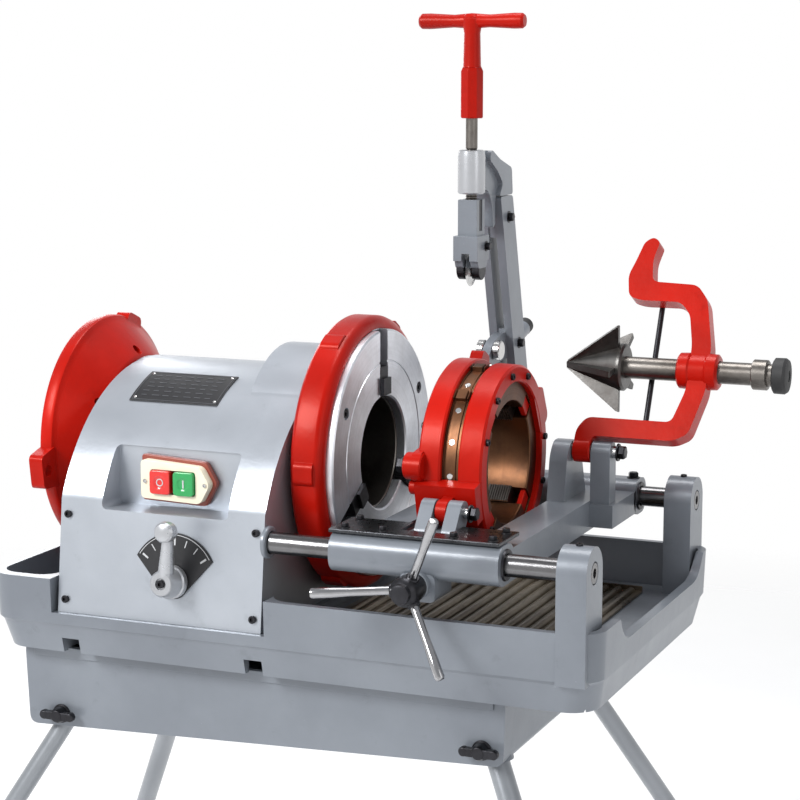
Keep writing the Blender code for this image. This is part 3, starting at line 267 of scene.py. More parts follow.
def make_materials():
    made = {
        "grey": enamel("grey_enamel", (0.206, 0.226, 0.254), (0.158, 0.174, 0.199),
                       (0.29, 0.31, 0.34), (0.28, 0.44), 0.20, 0.20),
        # The headstock cover's enamel is a lighter, more metallic copy of the grey enamel: its extra
        # lightness is painted light, standing for the brighter light on the headstock's front.
        "cover": enamel("cover_lit_enamel", (0.480, 0.510, 0.555), (0.400, 0.428, 0.470),
                        (0.55, 0.57, 0.60), (0.26, 0.40), 0.70, 0.05),
        "red": enamel("red_enamel", (0.460, 0.0065, 0.0020), (0.260, 0.0045, 0.0020),
                      (0.10, 0.010, 0.007), (0.26, 0.42), 0.0, 0.03, 0.45, 0.35, (1.0, 0.30, 0.24)),
        "leg": enamel("leg_enamel", (0.30, 0.316, 0.34), (0.235, 0.25, 0.268),
                      (0.40, 0.42, 0.43), (0.25, 0.4), 0.4, 0.2),
        "rail": steel("ground_rail", (0.17, 0.168, 0.172), (0.06, 0.05, 0.045), (0.16, 0.34),
                      (0.05, 1, 1)),
        "turned": steel("turned_steel", (0.86, 0.88, 0.93), (0.24, 0.22, 0.22), (0.28, 0.46),
                        turned_marks=True, stain=0.35),
        "bright": steel("bright_steel", (0.70, 0.70, 0.70), (0.30, 0.27, 0.24), (0.12, 0.28)),
        "chrome": steel("polished_rod", (0.42, 0.42, 0.43), (0.20, 0.18, 0.17), (0.10, 0.22),
                        stain=0.3),
        "oily": steel("oily_steel", (0.20, 0.185, 0.17), (0.06, 0.045, 0.035), (0.22, 0.48),
                      stain=0.8),
        "black": steel("blackened_steel", (0.045, 0.045, 0.050), (0.018, 0.016, 0.015),
                       (0.28, 0.50), stain=0.6),
        "cone": steel("reamer_steel", (0.115, 0.112, 0.108), (0.035, 0.028, 0.024), (0.26, 0.48),
                      stain=0.8),
        "bronze": steel("oily_bronze", (0.150, 0.070, 0.036), (0.040, 0.022, 0.016), (0.28, 0.50),
                        turned_marks=True, stain=0.9),
        "plate": plastic("black_plate", (0.008, 0.008, 0.010), (0.40, 0.55), 0.0),
        "mark": plastic("pale_mark", (0.50, 0.51, 0.52)),
        "faint": plastic("faint_mark", (0.070, 0.072, 0.080)),
        "sheet": steel("dark_sheet", (0.075, 0.078, 0.085), (0.020, 0.020, 0.020), (0.18, 0.40),
                       stain=0.7),
        "cream": plastic("cream_plastic", (0.78, 0.72, 0.56), (0.3, 0.4)),
        "rust": plastic("red_brown_backing", (0.26, 0.055, 0.035)),
        "red_button": plastic("red_plastic", (0.62, 0.020, 0.016), (0.2, 0.3), 0.4),
        "green_button": plastic("green_plastic", (0.015, 0.30, 0.075), (0.2, 0.3), 0.4),
        "silver": enamel("silver_enamel", (0.50, 0.51, 0.53), (0.40, 0.41, 0.43), (0.6, 0.6, 0.62),
                         (0.22, 0.34), 0.65, 0.2, 0.25),
        "rubber": plastic("black_rubber", (0.016, 0.016, 0.017), (0.5, 0.7)),
        "tray": oily_tray(),
    }
    return made


PAINT = make_materials()


# ---- modelling helpers --------------------------------------------------------------
def mesh_of(shape, name):
    bmesh.ops.recalc_face_normals(shape, faces=shape.faces[:])
    mesh = bpy.data.meshes.new(name)
    shape.to_mesh(mesh)
    shape.free()
    return mesh


def link(name, mesh):
    made = bpy.data.objects.new(name, mesh)
    bpy.context.scene.collection.objects.link(made)
    return made


def combined(first, steps):
    """First with each (operation, shape) of steps applied in turn by an exact boolean."""
    body = link("working_body", mesh_of(first, "working_body"))
    tools = []
    for operation, shape in steps:
        tool = link("cutter", mesh_of(shape, "cutter"))
        tools.append(tool)
        cut = body.modifiers.new("cut", "BOOLEAN")
        cut.operation = operation
        cut.solver = "EXACT"
        cut.object = tool
    result = bmesh.new()
    result.from_object(body, bpy.context.evaluated_depsgraph_get())
    for used in [body, *tools]:
        bpy.data.objects.remove(used, do_unlink=True)
    bmesh.ops.remove_doubles(result, verts=result.verts[:], dist=1e-6)
    return result


def joined(*shapes):
    return combined(shapes[0], [("UNION", s) for s in shapes[1:]])


def less(first, *shapes):
    return combined(first, [("DIFFERENCE", s) for s in shapes])


def together(*shapes):
    """Shapes kept as separate shells of one piece."""
    result = bmesh.new()
    for shape in shapes:
        mesh = mesh_of(shape, "part")
        result.from_mesh(mesh)
        bpy.data.meshes.remove(mesh)
    return result


def piece(name, shape, paint, body, nodes=(), bevel=0.0, steps=3, crisp=32):
    """One finished piece in the spindle frame: bevelled, smooth, painted and riding on body."""
    bmesh.ops.translate(shape, verts=shape.verts[:], vec=ORIGIN)
    mesh = mesh_of(shape, name)
    mesh.materials.append(PAINT[paint])
    mesh.shade_smooth()
    mesh.set_sharp_from_angle(angle=math.radians(crisp))
    made = link(name, mesh)
    if bevel:
        edge = made.modifiers.new("edge", "BEVEL")
        edge.width = bevel
        edge.segments = steps
        edge.limit_method = "ANGLE"
        edge.angle_limit = math.radians(crisp)
        even = made.modifiers.new("even", "WEIGHTED_NORMAL")
        even.keep_sharp = True
    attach(made, body)
    if nodes:
        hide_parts(*nodes)
    return made


def box(low, high):
    shape = bmesh.new()
    bmesh.ops.create_cube(shape, size=1.0)
    bmesh.ops.scale(shape, vec=[b - a for a, b in zip(low, high)], verts=shape.verts[:])
    bmesh.ops.translate(shape, vec=[(a + b) / 2 for a, b in zip(low, high)], verts=shape.verts[:])
    return shape


def revolved(profile, start, end, sides=48):
    """Spin (distance, radius) points from start towards end round the line between them.

    A profile that starts and ends at radius 0 is solid; any other is closed on itself."""
    a, b = Vector(start), Vector(end)
    turn = (b - a).to_track_quat("Z", "Y").to_matrix().to_4x4()
    shape = bmesh.new()
    ring = [shape.verts.new((r, 0.0, d)) for d, r in profile]
    solid = profile[0][1] == 0 and profile[-1][1] == 0
    edges = [shape.edges.new((ring[i - 1], ring[i])) for i in range(1 if solid else 0, len(ring))]
    bmesh.ops.spin(shape, geom=ring + edges, axis=(0, 0, 1), cent=(0, 0, 0), steps=sides,
                   angle=2 * math.pi, use_merge=True)
    bmesh.ops.remove_doubles(shape, verts=shape.verts[:], dist=1e-6)
    bmesh.ops.transform(shape, matrix=Matrix.Translation(a) @ turn, verts=shape.verts[:])
    return shape


def turned(profile, sides=96):
    """Spin a closed outline of (x, radius) points about the spindle's line."""
    return revolved(profile, (0, 0, 0), (1, 0, 0), sides)


def along_x(profile, x, place, sides):
    """Spin (distance from x, radius) points about the line along X through place (y, z)."""
    return revolved(profile, (x, *place), (x + 1, *place), sides)


def rod(start, end, radius, sides=40, chamfer=0.0006):
    """A bar with small chamfers at both ends."""
    length = (Vector(end) - Vector(start)).length
    c = min(chamfer, radius * 0.45, length * 0.3)
    profile = [(0, 0), (0, radius - c), (c, radius), (length - c, radius), (length, radius - c),
               (length, 0)]
    return revolved(profile, start, end, sides)


def pin(x0, x1, place, radius, sides=32, chamfer=0.0008):
    """A rod along X from x0 to x1 through place (y, z)."""
    return rod((x0, *place), (x1, *place), radius, sides, chamfer)


def tube(x0, x1, inner, outer, sides=96):
    return turned([(x0, inner), (x0, outer), (x1, outer), (x1, inner)], sides)


def slab(outline, low, high, axis="X"):
    """Extrude an outline along an axis: (y, z) for X, (x, z) for Y and (x, y) for Z."""
    places = {"X": lambda a, b: (low, a, b), "Y": lambda a, b: (a, low, b),
              "Z": lambda a, b: (a, b, low)}
    along = {"X": (1, 0, 0), "Y": (0, 1, 0), "Z": (0, 0, 1)}[axis]
    shape = bmesh.new()
    face = shape.faces.new([shape.verts.new(places[axis](a, b)) for a, b in outline])
    moved = bmesh.ops.extrude_face_region(shape, geom=[face])["geom"]
    corners = [v for v in moved if isinstance(v, bmesh.types.BMVert)]
    bmesh.ops.translate(shape, vec=Vector(along) * (high - low), verts=corners)
    return shape


def arc(centre, radius, start, end, steps):
    turn = [math.radians(start + (end - start) * i / steps) for i in range(steps + 1)]
    return [(centre[0] + radius * math.cos(t), centre[1] + radius * math.sin(t)) for t in turn]


def rounded_rectangle(x0, x1, y0, y1, radius, steps=10):
    points = arc((x1 - radius, y1 - radius), radius, 0, 90, steps)
    points += arc((x0 + radius, y1 - radius), radius, 90, 180, steps)
    points += arc((x0 + radius, y0 + radius), radius, 180, 270, steps)
    points += arc((x1 - radius, y0 + radius), radius, 270, 360, steps)
    return points


def rounded(points, radius, steps=6):
    """An outline whose corners are replaced by arcs of about that radius."""
    result = []
    count = len(points)
    for i in range(count):
        before, here, after = (Vector(points[(i + k) % count]) for k in (-1, 0, 1))
        to_a, to_b = before - here, after - here
        cut = min(radius, to_a.length * 0.45, to_b.length * 0.45)
        a, b = here + to_a.normalized() * cut, here + to_b.normalized() * cut
        for k in range(steps + 1):
            t = k / steps
            result.append(tuple((1 - t) ** 2 * a + 2 * t * (1 - t) * here + t ** 2 * b))
    return result


def capsule(start, end, half):
    """A bar's outline with round ends about two points."""
    heading = math.degrees(math.atan2(end[1] - start[1], end[0] - start[0]))
    return (arc(end, half, heading - 90, heading + 90, 14)
            + arc(start, half, heading + 90, heading + 270, 14))


def loft(rings):
    """A closed solid through horizontal outlines: (points, height) from low to high."""
    shape = bmesh.new()
    levels = [[shape.verts.new((x, y, z)) for x, y in outline] for outline, z in rings]
    shape.faces.new(levels[0][::-1])
    shape.faces.new(levels[-1])
    count = len(levels[0])
    for lower, upper in zip(levels, levels[1:]):
        for i in range(count):
            j = (i + 1) % count
            shape.faces.new((lower[i], lower[j], upper[j], upper[i]))
    return shape


def about_x(shape, degrees, centre=(0.0, 0.0)):
    bmesh.ops.rotate(shape, verts=shape.verts[:], cent=(0, *centre),
                     matrix=Matrix.Rotation(math.radians(degrees), 3, "X"))
    return shape


def radial_box(x0, x1, inner, outer, half_width, degrees):
    return about_x(box((x0, inner, -half_width), (x1, outer, half_width)), degrees)


def polar(x, radius, degrees):
    a = math.radians(degrees)
    return Vector((x, radius * math.cos(a), radius * math.sin(a)))


def hex_bolt(place, out, size=0.005):
    """A hexagon head on a washer at place, standing out along out."""
    place, out = Vector(place), Vector(out).normalized()
    head = revolved([(0, 0), (0, size), (size * 0.15, size * 1.12), (size * 0.9, size * 1.12),
                     (size * 1.1, size * 0.95), (size * 1.1, 0)], place + out * size * 0.25, place + out, 6)
    washer = revolved([(0, 0), (0, size * 1.45), (size * 0.25, size * 1.4), (size * 0.25, 0)],
                      place, place + out, 28)
    return together(head, washer)


def cap_screw(place, out, radius=0.004):
    """A round screw head with a hexagon socket."""
    place, out = Vector(place), Vector(out).normalized()
    r = radius
    return revolved([(0, 0), (0, r), (r * 0.75, r), (r * 0.9, r * 0.85), (r * 0.9, r * 0.5),
                     (r * 0.4, r * 0.45), (r * 0.4, 0)], place, place + out, 24)


def thread(start, end, radius, pitch, depth=0.0006):
    """A screw thread cut as close rings along a bar."""
    length = (Vector(end) - Vector(start)).length
    count = max(2, int(length / pitch))
    step = length / count
    profile = [(0, 0)]
    for k in range(count):
        profile += [(k * step, radius - depth), (k * step + step * 0.5, radius)]
    profile += [(length, radius - depth), (length, 0)]
    return revolved(profile, start, end, 28)


# ---- bed, tank, stand ---------------------------------------------------------------
def bed_outline(inset, half_y, radius=0.030):
    return rounded_rectangle(BED_LEFT + inset, BED_RIGHT - inset, -half_y, half_y, radius)


def bed_rooms():
    """What is cut out of the bed: tray, ledge, underside, end bin and the dip in its right end."""
    low_y, top_y = BED_BOTTOM_Y - BED_WALL + 0.005, BED_TOP_Y - BED_WALL
    under_y = BED_BOTTOM_Y - BED_WALL
    tray_left = HEAD_RIGHT + 0.006
    tray = loft([(rounded_rectangle(tray_left, BED_RIGHT - 0.014, -low_y, low_y, 0.024), TRAY_FLOOR),
                 (rounded_rectangle(tray_left, BED_RIGHT - BED_WALL, -top_y, top_y, 0.024),
                  BED_TOP + 0.002)])
    ledge = box((HEAD_LEFT - 0.004, -FAR, HEAD_FOOT), (HEAD_RIGHT + 0.007, FAR, BED_TOP + 0.01))
    under = box((HEAD_LEFT, -under_y, BED_BOTTOM - 0.01), (BED_RIGHT - 0.018, under_y, TRAY_FLOOR - 0.012))
    end_bin = loft([(rounded_rectangle(BED_LEFT + 0.012, HEAD_LEFT - 0.010, -0.186, 0.186, 0.018), -0.158),
                    (rounded_rectangle(BED_LEFT + 0.006, HEAD_LEFT - 0.008, -0.198, 0.198, 0.024),
                     BED_TOP + 0.01)])
    dip = rounded([(-0.150, BED_TOP + 0.02), (-0.118, BED_TOP - 0.026), (0.152, BED_TOP - 0.026),
                   (0.184, BED_TOP + 0.02)], 0.020)
    return [tray, ledge, under, end_bin, slab(dip, BED_RIGHT - 0.022, BED_RIGHT + 0.010)]


def bed_post(y):
    outline = arc((y, POST_TOP - POST_HALF), POST_HALF, 0, 180, 28)
    outline += [(y - POST_HALF, TRAY_FLOOR - 0.004), (y + POST_HALF, TRAY_FLOOR - 0.004)]
    return slab(outline, POST_LEFT, RAIL_RIGHT)


def make_bed():
    body = loft([(bed_outline(0.010, BED_BOTTOM_Y), BED_BOTTOM), (bed_outline(0.004, 0.2025), -0.1700),
                 (bed_outline(0.0015, 0.2062), -0.1655), (bed_outline(0, BED_TOP_Y), BED_TOP)])
    posts = [bed_post(s * RAIL_Y) for s in (-1, 1)]
    notches = [box((x - 0.010, -0.230, BED_BOTTOM - 0.01), (x + 0.010, -0.180, BED_BOTTOM + 0.016))
               for x in (-0.2615, -0.0507)]
    holes = [pin(POST_LEFT - 0.01, RAIL_RIGHT + 0.02, (s * RAIL_Y, RAIL_Z), RAIL_R + GAP, 48, 0)
             for s in (-1, 1)]
    body = less(joined(less(body, *bed_rooms()), *posts), *notches, *holes)
    piece("bed", body, "grey", FRAME, ["bed_casting"], 0.0022, 3, 30)
    bolts = [hex_bolt((HEAD_LEFT + 0.002, s * 0.150, HEAD_FOOT), UP, 0.005) for s in (-1, 1)]
    bolts += [cap_screw((POST_LEFT + 0.015, s * (RAIL_Y - 0.0001), POST_TOP - 0.001), UP, 0.0035)
              for s in (-1, 1)]
    piece("bed_bolts", together(*bolts), "black", FRAME)


def leg_centre(name, z):
    x, y = LEG_ROOTS[name]
    drop = LEG_TOP - z
    return (x + math.copysign(LEG_SPLAY_X * drop, x), y + math.copysign(LEG_SPLAY_Y * drop, y))


def slanted(name, levels):
    """A slanted round bar through (height, radius) levels, with horizontal ends."""
    return loft([(arc(leg_centre(name, z), r, 0, 351, 39), z) for z, r in levels])


def clamp_height(name):
    return (TANK_DEEP if "left" in name else TANK_SHALLOW) + 0.015


def make_tank():
    outline = [(TANK_LEFT, TANK_TOP), (TANK_LEFT + 0.004, TANK_DEEP),
               (TANK_RIGHT - 0.002, TANK_SHALLOW), (TANK_RIGHT, TANK_TOP)]
    wall = 0.003
    inside = [(TANK_LEFT + wall, TANK_TOP + 0.01), (TANK_LEFT + 0.004 + wall, TANK_DEEP + wall),
              (TANK_RIGHT - 0.002 - wall, TANK_SHALLOW + wall), (TANK_RIGHT - wall, TANK_TOP + 0.01)]
    shell = less(slab(rounded(outline, 0.010), TANK_FRONT, TANK_BACK, "Y"),
                 slab(inside, TANK_FRONT + wall, TANK_BACK - wall, "Y"))
    bores = [slanted(name, [(TANK_DEEP - 0.02, LEG_R + GAP), (LEG_TOP, LEG_R + GAP)])
             for name in LEG_ROOTS]
    sockets = [slanted(name, [((TANK_DEEP if "left" in name else TANK_SHALLOW) + 0.002, 0.017),
                              (LEG_TOP + 0.006, 0.017)]) for name in LEG_ROOTS]
    piece("tank", less(joined(shell, *sockets), *bores), "grey", FRAME, ["oil_tank"],
          0.0028, 4, 40)
    seams = [box((TANK_LEFT + 0.012, y - 0.0012, TANK_TOP - 0.012),
                 (TANK_RIGHT - 0.012, y + 0.0012, TANK_TOP - 0.0005))
             for y in (TANK_FRONT - 0.0012, TANK_BACK + 0.0012)]
    piece("tank_flange", together(*seams), "grey", FRAME, bevel=0.0008)
    plug = hex_bolt((TANK_LEFT + 0.0025, 0.0, TANK_DEEP + 0.018), (-1, 0, 0), 0.008)
    piece("drain_plug", plug, "bright", FRAME)


def make_stand():
    for name in LEG_ROOTS:
        shaft = slanted(name, [(FLOOR + 0.034, LEG_R - 0.0012), (FLOOR + 0.036, LEG_R - 0.0006),
                               (LEG_TOP - 0.001, LEG_R - 0.0006)])
        piece("tube_" + name, shaft, "leg", FRAME, ["leg_" + name])
        foot = slanted(name, [(FLOOR, LEG_R - 0.001), (FLOOR + 0.002, LEG_R - 0.0002),
                              (FLOOR + 0.036, LEG_R - 0.0002), (FLOOR + 0.040, LEG_R - 0.0012)])
        piece("foot_" + name, foot, "rubber", FRAME)
        z = clamp_height(name)
        x, y = leg_centre(name, z)
        out = math.copysign(1, y)
        wall = TANK_FRONT if y < 0 else TANK_BACK
        head = revolved([(0, 0), (0, 0.0100), (0.002, 0.0102), (0.0022, 0.0085), (0.010, 0.0080),
                         (0.0138, 0.0060), (0.0140, 0)], (x, wall + out * 0.0003, z),
                        (x, wall + out * 0.02, z), 32)
        wing = slab(capsule((x - 0.0155, z), (x + 0.0155, z), 0.0042),
                    *sorted((wall + out * 0.0065, wall + out * 0.0135)), "Y")
        ends = [revolved([(0, 0), (0, 0.0042), (0.0015, 0.0050), (0.0060, 0.0050), (0.0075, 0.0040),
                          (0.0075, 0)], (x + side * 0.0155, wall + out * 0.0062, z),
                         (x + side * 0.0155, wall + out * 0.02, z), 24) for side in (-1, 1)]
        stem = thread((x, y + out * 0.016, z), (x, wall + out * 0.001, z), 0.004, 0.0012)
        piece("wing_bolt_" + name, together(head, wing, stem, *ends), "black", "clamp_" + name,
              ["leg_clamp_" + name], 0.0007, 2)


def make_rails():
    """Two ground rails; the front one has rack teeth under it, cut as 21 gaps, for the feed pinion."""
    length = RAIL_RIGHT - RAIL_LEFT
    for side, node in ((-1, "front_rail"), (1, "rear_rail")):
        bar = revolved([(0, 0), (0, RAIL_R), (length - 0.0012, RAIL_R), (length, RAIL_R - 0.0012),
                        (length, 0.0048), (length - 0.006, 0.0042), (length - 0.010, 0)],
                       (RAIL_LEFT, side * RAIL_Y, RAIL_Z), (RAIL_RIGHT, side * RAIL_Y, RAIL_Z), 64)
        if side < 0:
            pitch = math.pi * 0.0015
            teeth = [box((FEED_X + (k - 10.25) * pitch, -RAIL_Y - 0.012, RAIL_Z - 0.02),
                         (FEED_X + (k - 9.75) * pitch, -RAIL_Y + 0.012, RAIL_Z - RAIL_R + 0.0027))
                     for k in range(21)]
            bar = less(bar, together(*teeth))
        piece(node + "_bar", bar, "rail", FRAME, [node])
    collars = [revolved([(0, RAIL_R + 0.0004), (0, 0.0165), (0.0035, 0.0165), (0.005, 0.0150),
                         (0.005, RAIL_R + 0.0004)], (HEAD_RIGHT, s * RAIL_Y, RAIL_Z),
                        (0, s * RAIL_Y, RAIL_Z), 48) for s in (-1, 1)]
    piece("rail_collars", together(*collars), "grey", FRAME, bevel=0.0006)


def make_chip_tray():
    low, high = local("chip_tray")
    floor = box((low.x, low.y, low.z), (high.x, high.y, low.z + 0.0030))
    ribs = []
    x = low.x + 0.008
    while x < high.x - 0.012:
        ribs.append(slab(arc((x + 0.005, low.z + 0.0028), 0.0045, 0, 180, 10),
                         low.y + 0.006, high.y - 0.006, "Y"))
        x += 0.0145
    rims = [box((low.x, s * high.y - 0.0012, low.z), (high.x, s * high.y + 0.0012, high.z))
            for s in (-1, 1)]
    piece("chip_tray_sheet", together(floor, *ribs, *rims), "tray", FRAME, ["chip_tray"],
          0.0006, 2, 50)


# ---- headstock ----------------------------------------------------------------------
def head_outline(inset, foot):
    """The headstock's outline (y, z): an arch on two leaning sides, drawn in by inset."""
    radius = ARCH_R - inset
    shoulder_y = HEAD_SHOULDER_Y - inset
    turn = math.degrees(math.acos(shoulder_y / radius))
    points = arc((0.0, ARCH_Z), radius, turn, 180 - turn, 64)
    return points + [(-HEAD_FOOT_Y + inset, foot), (HEAD_FOOT_Y - inset, foot)]


def on_head_face(x, z, out=0.0):
    y = -HEAD_SHOULDER_Y - (HEAD_SHOULDER - z) * math.tan(FACE_LEAN)
    return Vector((x, y, z)) + FACE_NORMAL * out


def make_headstock():
    foot = HEAD_FOOT + GAP
    outer = joined(slab(head_outline(0.0, HEAD_FOOT), HEAD_LEFT, HEAD_RIGHT),
                   tube(COLLAR_LEFT, HEAD_RIGHT, 0.0001, COLLAR_R, 128))
    foot_cut = box((HEAD_LEFT - 0.01, -FAR, -0.40), (HEAD_RIGHT + 0.01, FAR, foot))
    shell = 0.006
    pocket = box((RECESS_X[0] - shell, -FAR, RECESS_Z[0] - shell),
                 (RECESS_X[1] + shell, RECESS_BACK + shell, RECESS_Z[1] + shell))
    inner = less(slab(head_outline(shell, -0.20), HEAD_LEFT + shell, HEAD_RIGHT - shell), pocket)
    collar_inner = tube(COLLAR_LEFT + shell, HEAD_RIGHT - shell, 0.0001, 0.1035, 96)
    recess = slab(rounded([(RECESS_X[0], RECESS_Z[0]), (RECESS_X[1], RECESS_Z[0]),
                           (RECESS_X[1], RECESS_Z[1]), (RECESS_X[0], RECESS_Z[1])], 0.006),
                  -FAR, RECESS_BACK, "Y")
    bore = tube(HEAD_LEFT - 0.01, HEAD_RIGHT + 0.01, 0.0001, SPINDLE_R + 0.004, 96)
    cover = less(outer, foot_cut, inner, collar_inner, recess, bore)
    piece("headstock_shell", cover, "cover", FRAME, ["headstock_cover"], 0.0030, 4, 35)
    screws = [cap_screw(on_head_face(x, z, -0.0004), FACE_NORMAL, 0.0040)
              for x, z in ((-0.266, -0.052), (-0.050, -0.054), (-0.266, -0.140), (-0.050, -0.140))]
    screws += [cap_screw((x, HEAD_SHOULDER_Y + 0.004 - 0.0004, -0.060), (0, 1, 0), 0.004)
               for x in (-0.266, -0.050)]
    piece("cover_screws", together(*screws), "black", FRAME)
    top_seal = less(tube(HEAD_LEFT - 0.0035, HEAD_LEFT + 0.001, SPINDLE_R + 0.0015, 0.088, 96),
                    tube(HEAD_LEFT - 0.01, HEAD_LEFT - 0.003, 0.0001, 0.078, 96))
    piece("rear_bearing_cap", top_seal, "grey", FRAME, bevel=0.0006)


def arch_point(x, degrees, out=0.0):
    a = math.radians(degrees)
    r = ARCH_R + out
    return Vector((x, r * math.cos(a), ARCH_Z + r * math.sin(a)))


def arch_strip(x0, x1, a0, a1, out0, out1, steps=16):
    outline = arc((0.0, ARCH_Z), ARCH_R + out1, a0, a1, steps)
    outline += arc((0.0, ARCH_Z), ARCH_R + out0, a1, a0, steps)
    return slab(outline, x0, x1)


def make_name_plate():
    x0, x1, a0, a1 = -0.238, -0.134, 106.6, 122.4
    piece("name_plate", arch_strip(x0, x1, a0, a1, 0.0002, 0.0014), "plate", FRAME,
          ["nameplate"], 0.0004, 2)
    out0, out1, edge, turn = 0.0013, 0.0017, 0.0022, 0.45
    lines = [arch_strip(x0 + edge, x1 - edge, a0 + turn, a0 + turn + 0.2, out0, out1),
             arch_strip(x0 + edge, x1 - edge, a1 - turn - 0.2, a1 - turn, out0, out1),
             arch_strip(x0 + edge, x0 + edge + 0.0007, a0 + turn, a1 - turn, out0, out1),
             arch_strip(x1 - edge - 0.0007, x1 - edge, a0 + turn, a1 - turn, out0, out1)]
    for row in range(6):
        a = a0 + 2.4 + row * 2.1
        for k in range(7):
            left = x0 + 0.009 + k * 0.0125 + 0.0015 * (row % 2)
            lines.append(arch_strip(left, left + 0.0085 - 0.0012 * ((k + row) % 3), a, a + 0.30,
                                    out0, out1, 2))
    piece("name_plate_rules", together(*lines), "faint", FRAME)
    rivets = [revolved([(0, 0), (0, 0.0019), (0.0006, 0.0016), (0.0010, 0.0008), (0.0011, 0)],
                       arch_point(x, a, 0.0013), arch_point(x, a, 0.01), 20)
              for x in (x0 + 0.005, x1 - 0.005) for a in (a0 + 1.5, a1 - 1.5)]
    piece("name_plate_rivets", together(*rivets), "bright", FRAME)


def make_switch():
    back = RECESS_BACK
    backing = rounded([(-0.196, 0.011), (-0.196, -0.037), (-0.122, -0.039), (-0.109, -0.015),
                       (-0.122, 0.007)], 0.004)
    piece("switch_backing", slab(backing, back - 0.0080, back - SKIN, "Y"), "rust", FRAME, bevel=0.0010)
    face = rounded([(-0.192, 0.007), (-0.192, -0.033), (-0.124, -0.035), (-0.113, -0.015),
                    (-0.124, 0.003)], 0.005)
    window = slab(rounded([(-0.1808, -0.0275), (-0.1292, -0.0275), (-0.1292, -0.0025),
                           (-0.1808, -0.0025)], 0.003), back - 0.03, back - 0.0060, "Y")
    plate = less(slab(face, back - 0.0180, back - 0.0075, "Y"), window)
    piece("switch_plate", plate, "cream", FRAME, ["switch_housing"], 0.0012)
    make_button("stop", "red_button", -0.180, -0.157)
    make_button("start", "green_button", -0.153, -0.130)
    screws = [cap_screw((x, back - 0.0178, KEY_Z), (0, -1, 0), 0.0021) for x in (-0.1870, -0.1185)]
    piece("switch_screws", together(*screws), "bright", FRAME)


def make_button(body, paint, x0, x1):
    """A dished key with its sign: a ring for stop, a bar for start."""
    back, middle = RECESS_BACK, (x0 + x1) / 2

    def sunk(profile, depth, sides):
        return revolved(profile, (middle, back - depth, KEY_Z), (middle, back, KEY_Z), sides)

    outline = rounded([(x0, -0.0272), (x1, -0.0272), (x1, -0.0028), (x0, -0.0028)], 0.004)
    key = slab(outline, back - 0.022, back - 0.0115, "Y")
    dish = sunk([(0, 0), (0, 0.0070), (0.0012, 0.0055), (0.0016, 0)], 0.0222, 40)
    piece(body + "_button_key", less(key, dish), paint, body, [body + "_button"], 0.0012)
    if body == "start":
        bar = capsule((middle, -0.0185), (middle, -0.0115), 0.0008)
        sign = slab(bar, back - 0.0213, back - 0.0206, "Y")
    else:
        sign = less(sunk([(0, 0), (0, 0.0040), (0.0006, 0.0040), (0.0006, 0)], 0.0213, 32),
                    sunk([(0, 0), (0, 0.0030), (0.004, 0.0030), (0.004, 0)], 0.0233, 32))
    piece(body + "_button_sign", sign, "mark", body)


def face_slab(outline, out0, out1):
    shape = bmesh.new()
    rings = [[shape.verts.new(on_head_face(x, z, out)) for x, z in outline] for out in (out0, out1)]
    shape.faces.new(rings[0])
    shape.faces.new(rings[1][::-1])
    for i in range(len(outline)):
        shape.faces.new((rings[0][i - 1], rings[0][i], rings[1][i], rings[1][i - 1]))
    return shape


def make_dial():
    def sector(inner, outer, low, high, steps):
        return arc(DIAL, outer, high, low, steps) + arc(DIAL, inner, low, high, steps)

    plate = arc(DIAL, 0.049, 152, 28, 40) + arc(DIAL, 0.018, -60, -120, 10)
    piece("dial_plate", face_slab(plate, 0.0003, 0.0018), "plate", FRAME, ["speed_dial_plate"], 0.0004, 2)
    outlines = [sector(0.0466, 0.0472, 32, 148, 40)]
    for k in range(7):
        a = 145 - k * 110 / 6
        wide = 0.7 if k % 3 else 1.3
        outlines.append(sector(0.0365, 0.0440, a - wide, a + wide, 2))
    marks = [face_slab(outline, 0.0017, 0.0021) for outline in outlines]
    piece("dial_marks", together(*marks), "mark", FRAME)


def make_speed_lever():
    x, z = DIAL
    hub = revolved([(0.0024, 0), (0.0024, 0.0160), (0.0040, 0.0172), (0.0105, 0.0172), (0.0120, 0.0158),
                    (0.0260, 0.0135), (0.0290, 0.0115), (0.0290, 0.0060), (0.0270, 0.0055), (0.0270, 0)],
                   on_head_face(x, z, 0.0), on_head_face(x, z, 0.01), 56)
    low, high = on_head_face(x + 0.001, z + 0.006, 0.020), on_head_face(-0.1295, -0.054, 0.036)
    length = (high - low).length
    arm = revolved([(0, 0), (0, 0.0078), (0.010, 0.0080), (0.040, 0.0058), (length, 0.0052),
                    (length + 0.001, 0)], low, high, 32)
    knob = revolved([(0, 0), (0.0002, 0.0070), (0.0025, 0.0098), (0.0080, 0.0108), (0.0140, 0.0104),
                     (0.0165, 0.0085), (0.0175, 0.0045), (0.0177, 0)],
                    on_head_face(-0.130, -0.056, 0.031), on_head_face(-0.130, -0.056, 0.060), 40)
    piece("speed_lever_cast", joined(hub, arm, knob), "silver", "speed_selector", ["speed_lever"],
          0.0008, 2)
    screw = cap_screw(on_head_face(x, z, 0.0268), FACE_NORMAL, 0.0042)
    piece("speed_lever_screw", screw, "black", "speed_selector")


def make_gland():
    gland = revolved([(0, 0.0035), (0, 0.0078), (0.0010, 0.0078), (0.0010, 0.0118), (0.004, 0.0120),
                      (0.0045, 0.0105), (0.012, 0.0100), (0.0142, 0.0075), (0.0142, 0.0035)],
                     (-0.240, 0.1975, -0.120), (-0.240, 0.25, -0.120), 40)
    piece("gland", gland, "rubber", FRAME, ["cable_gland"])


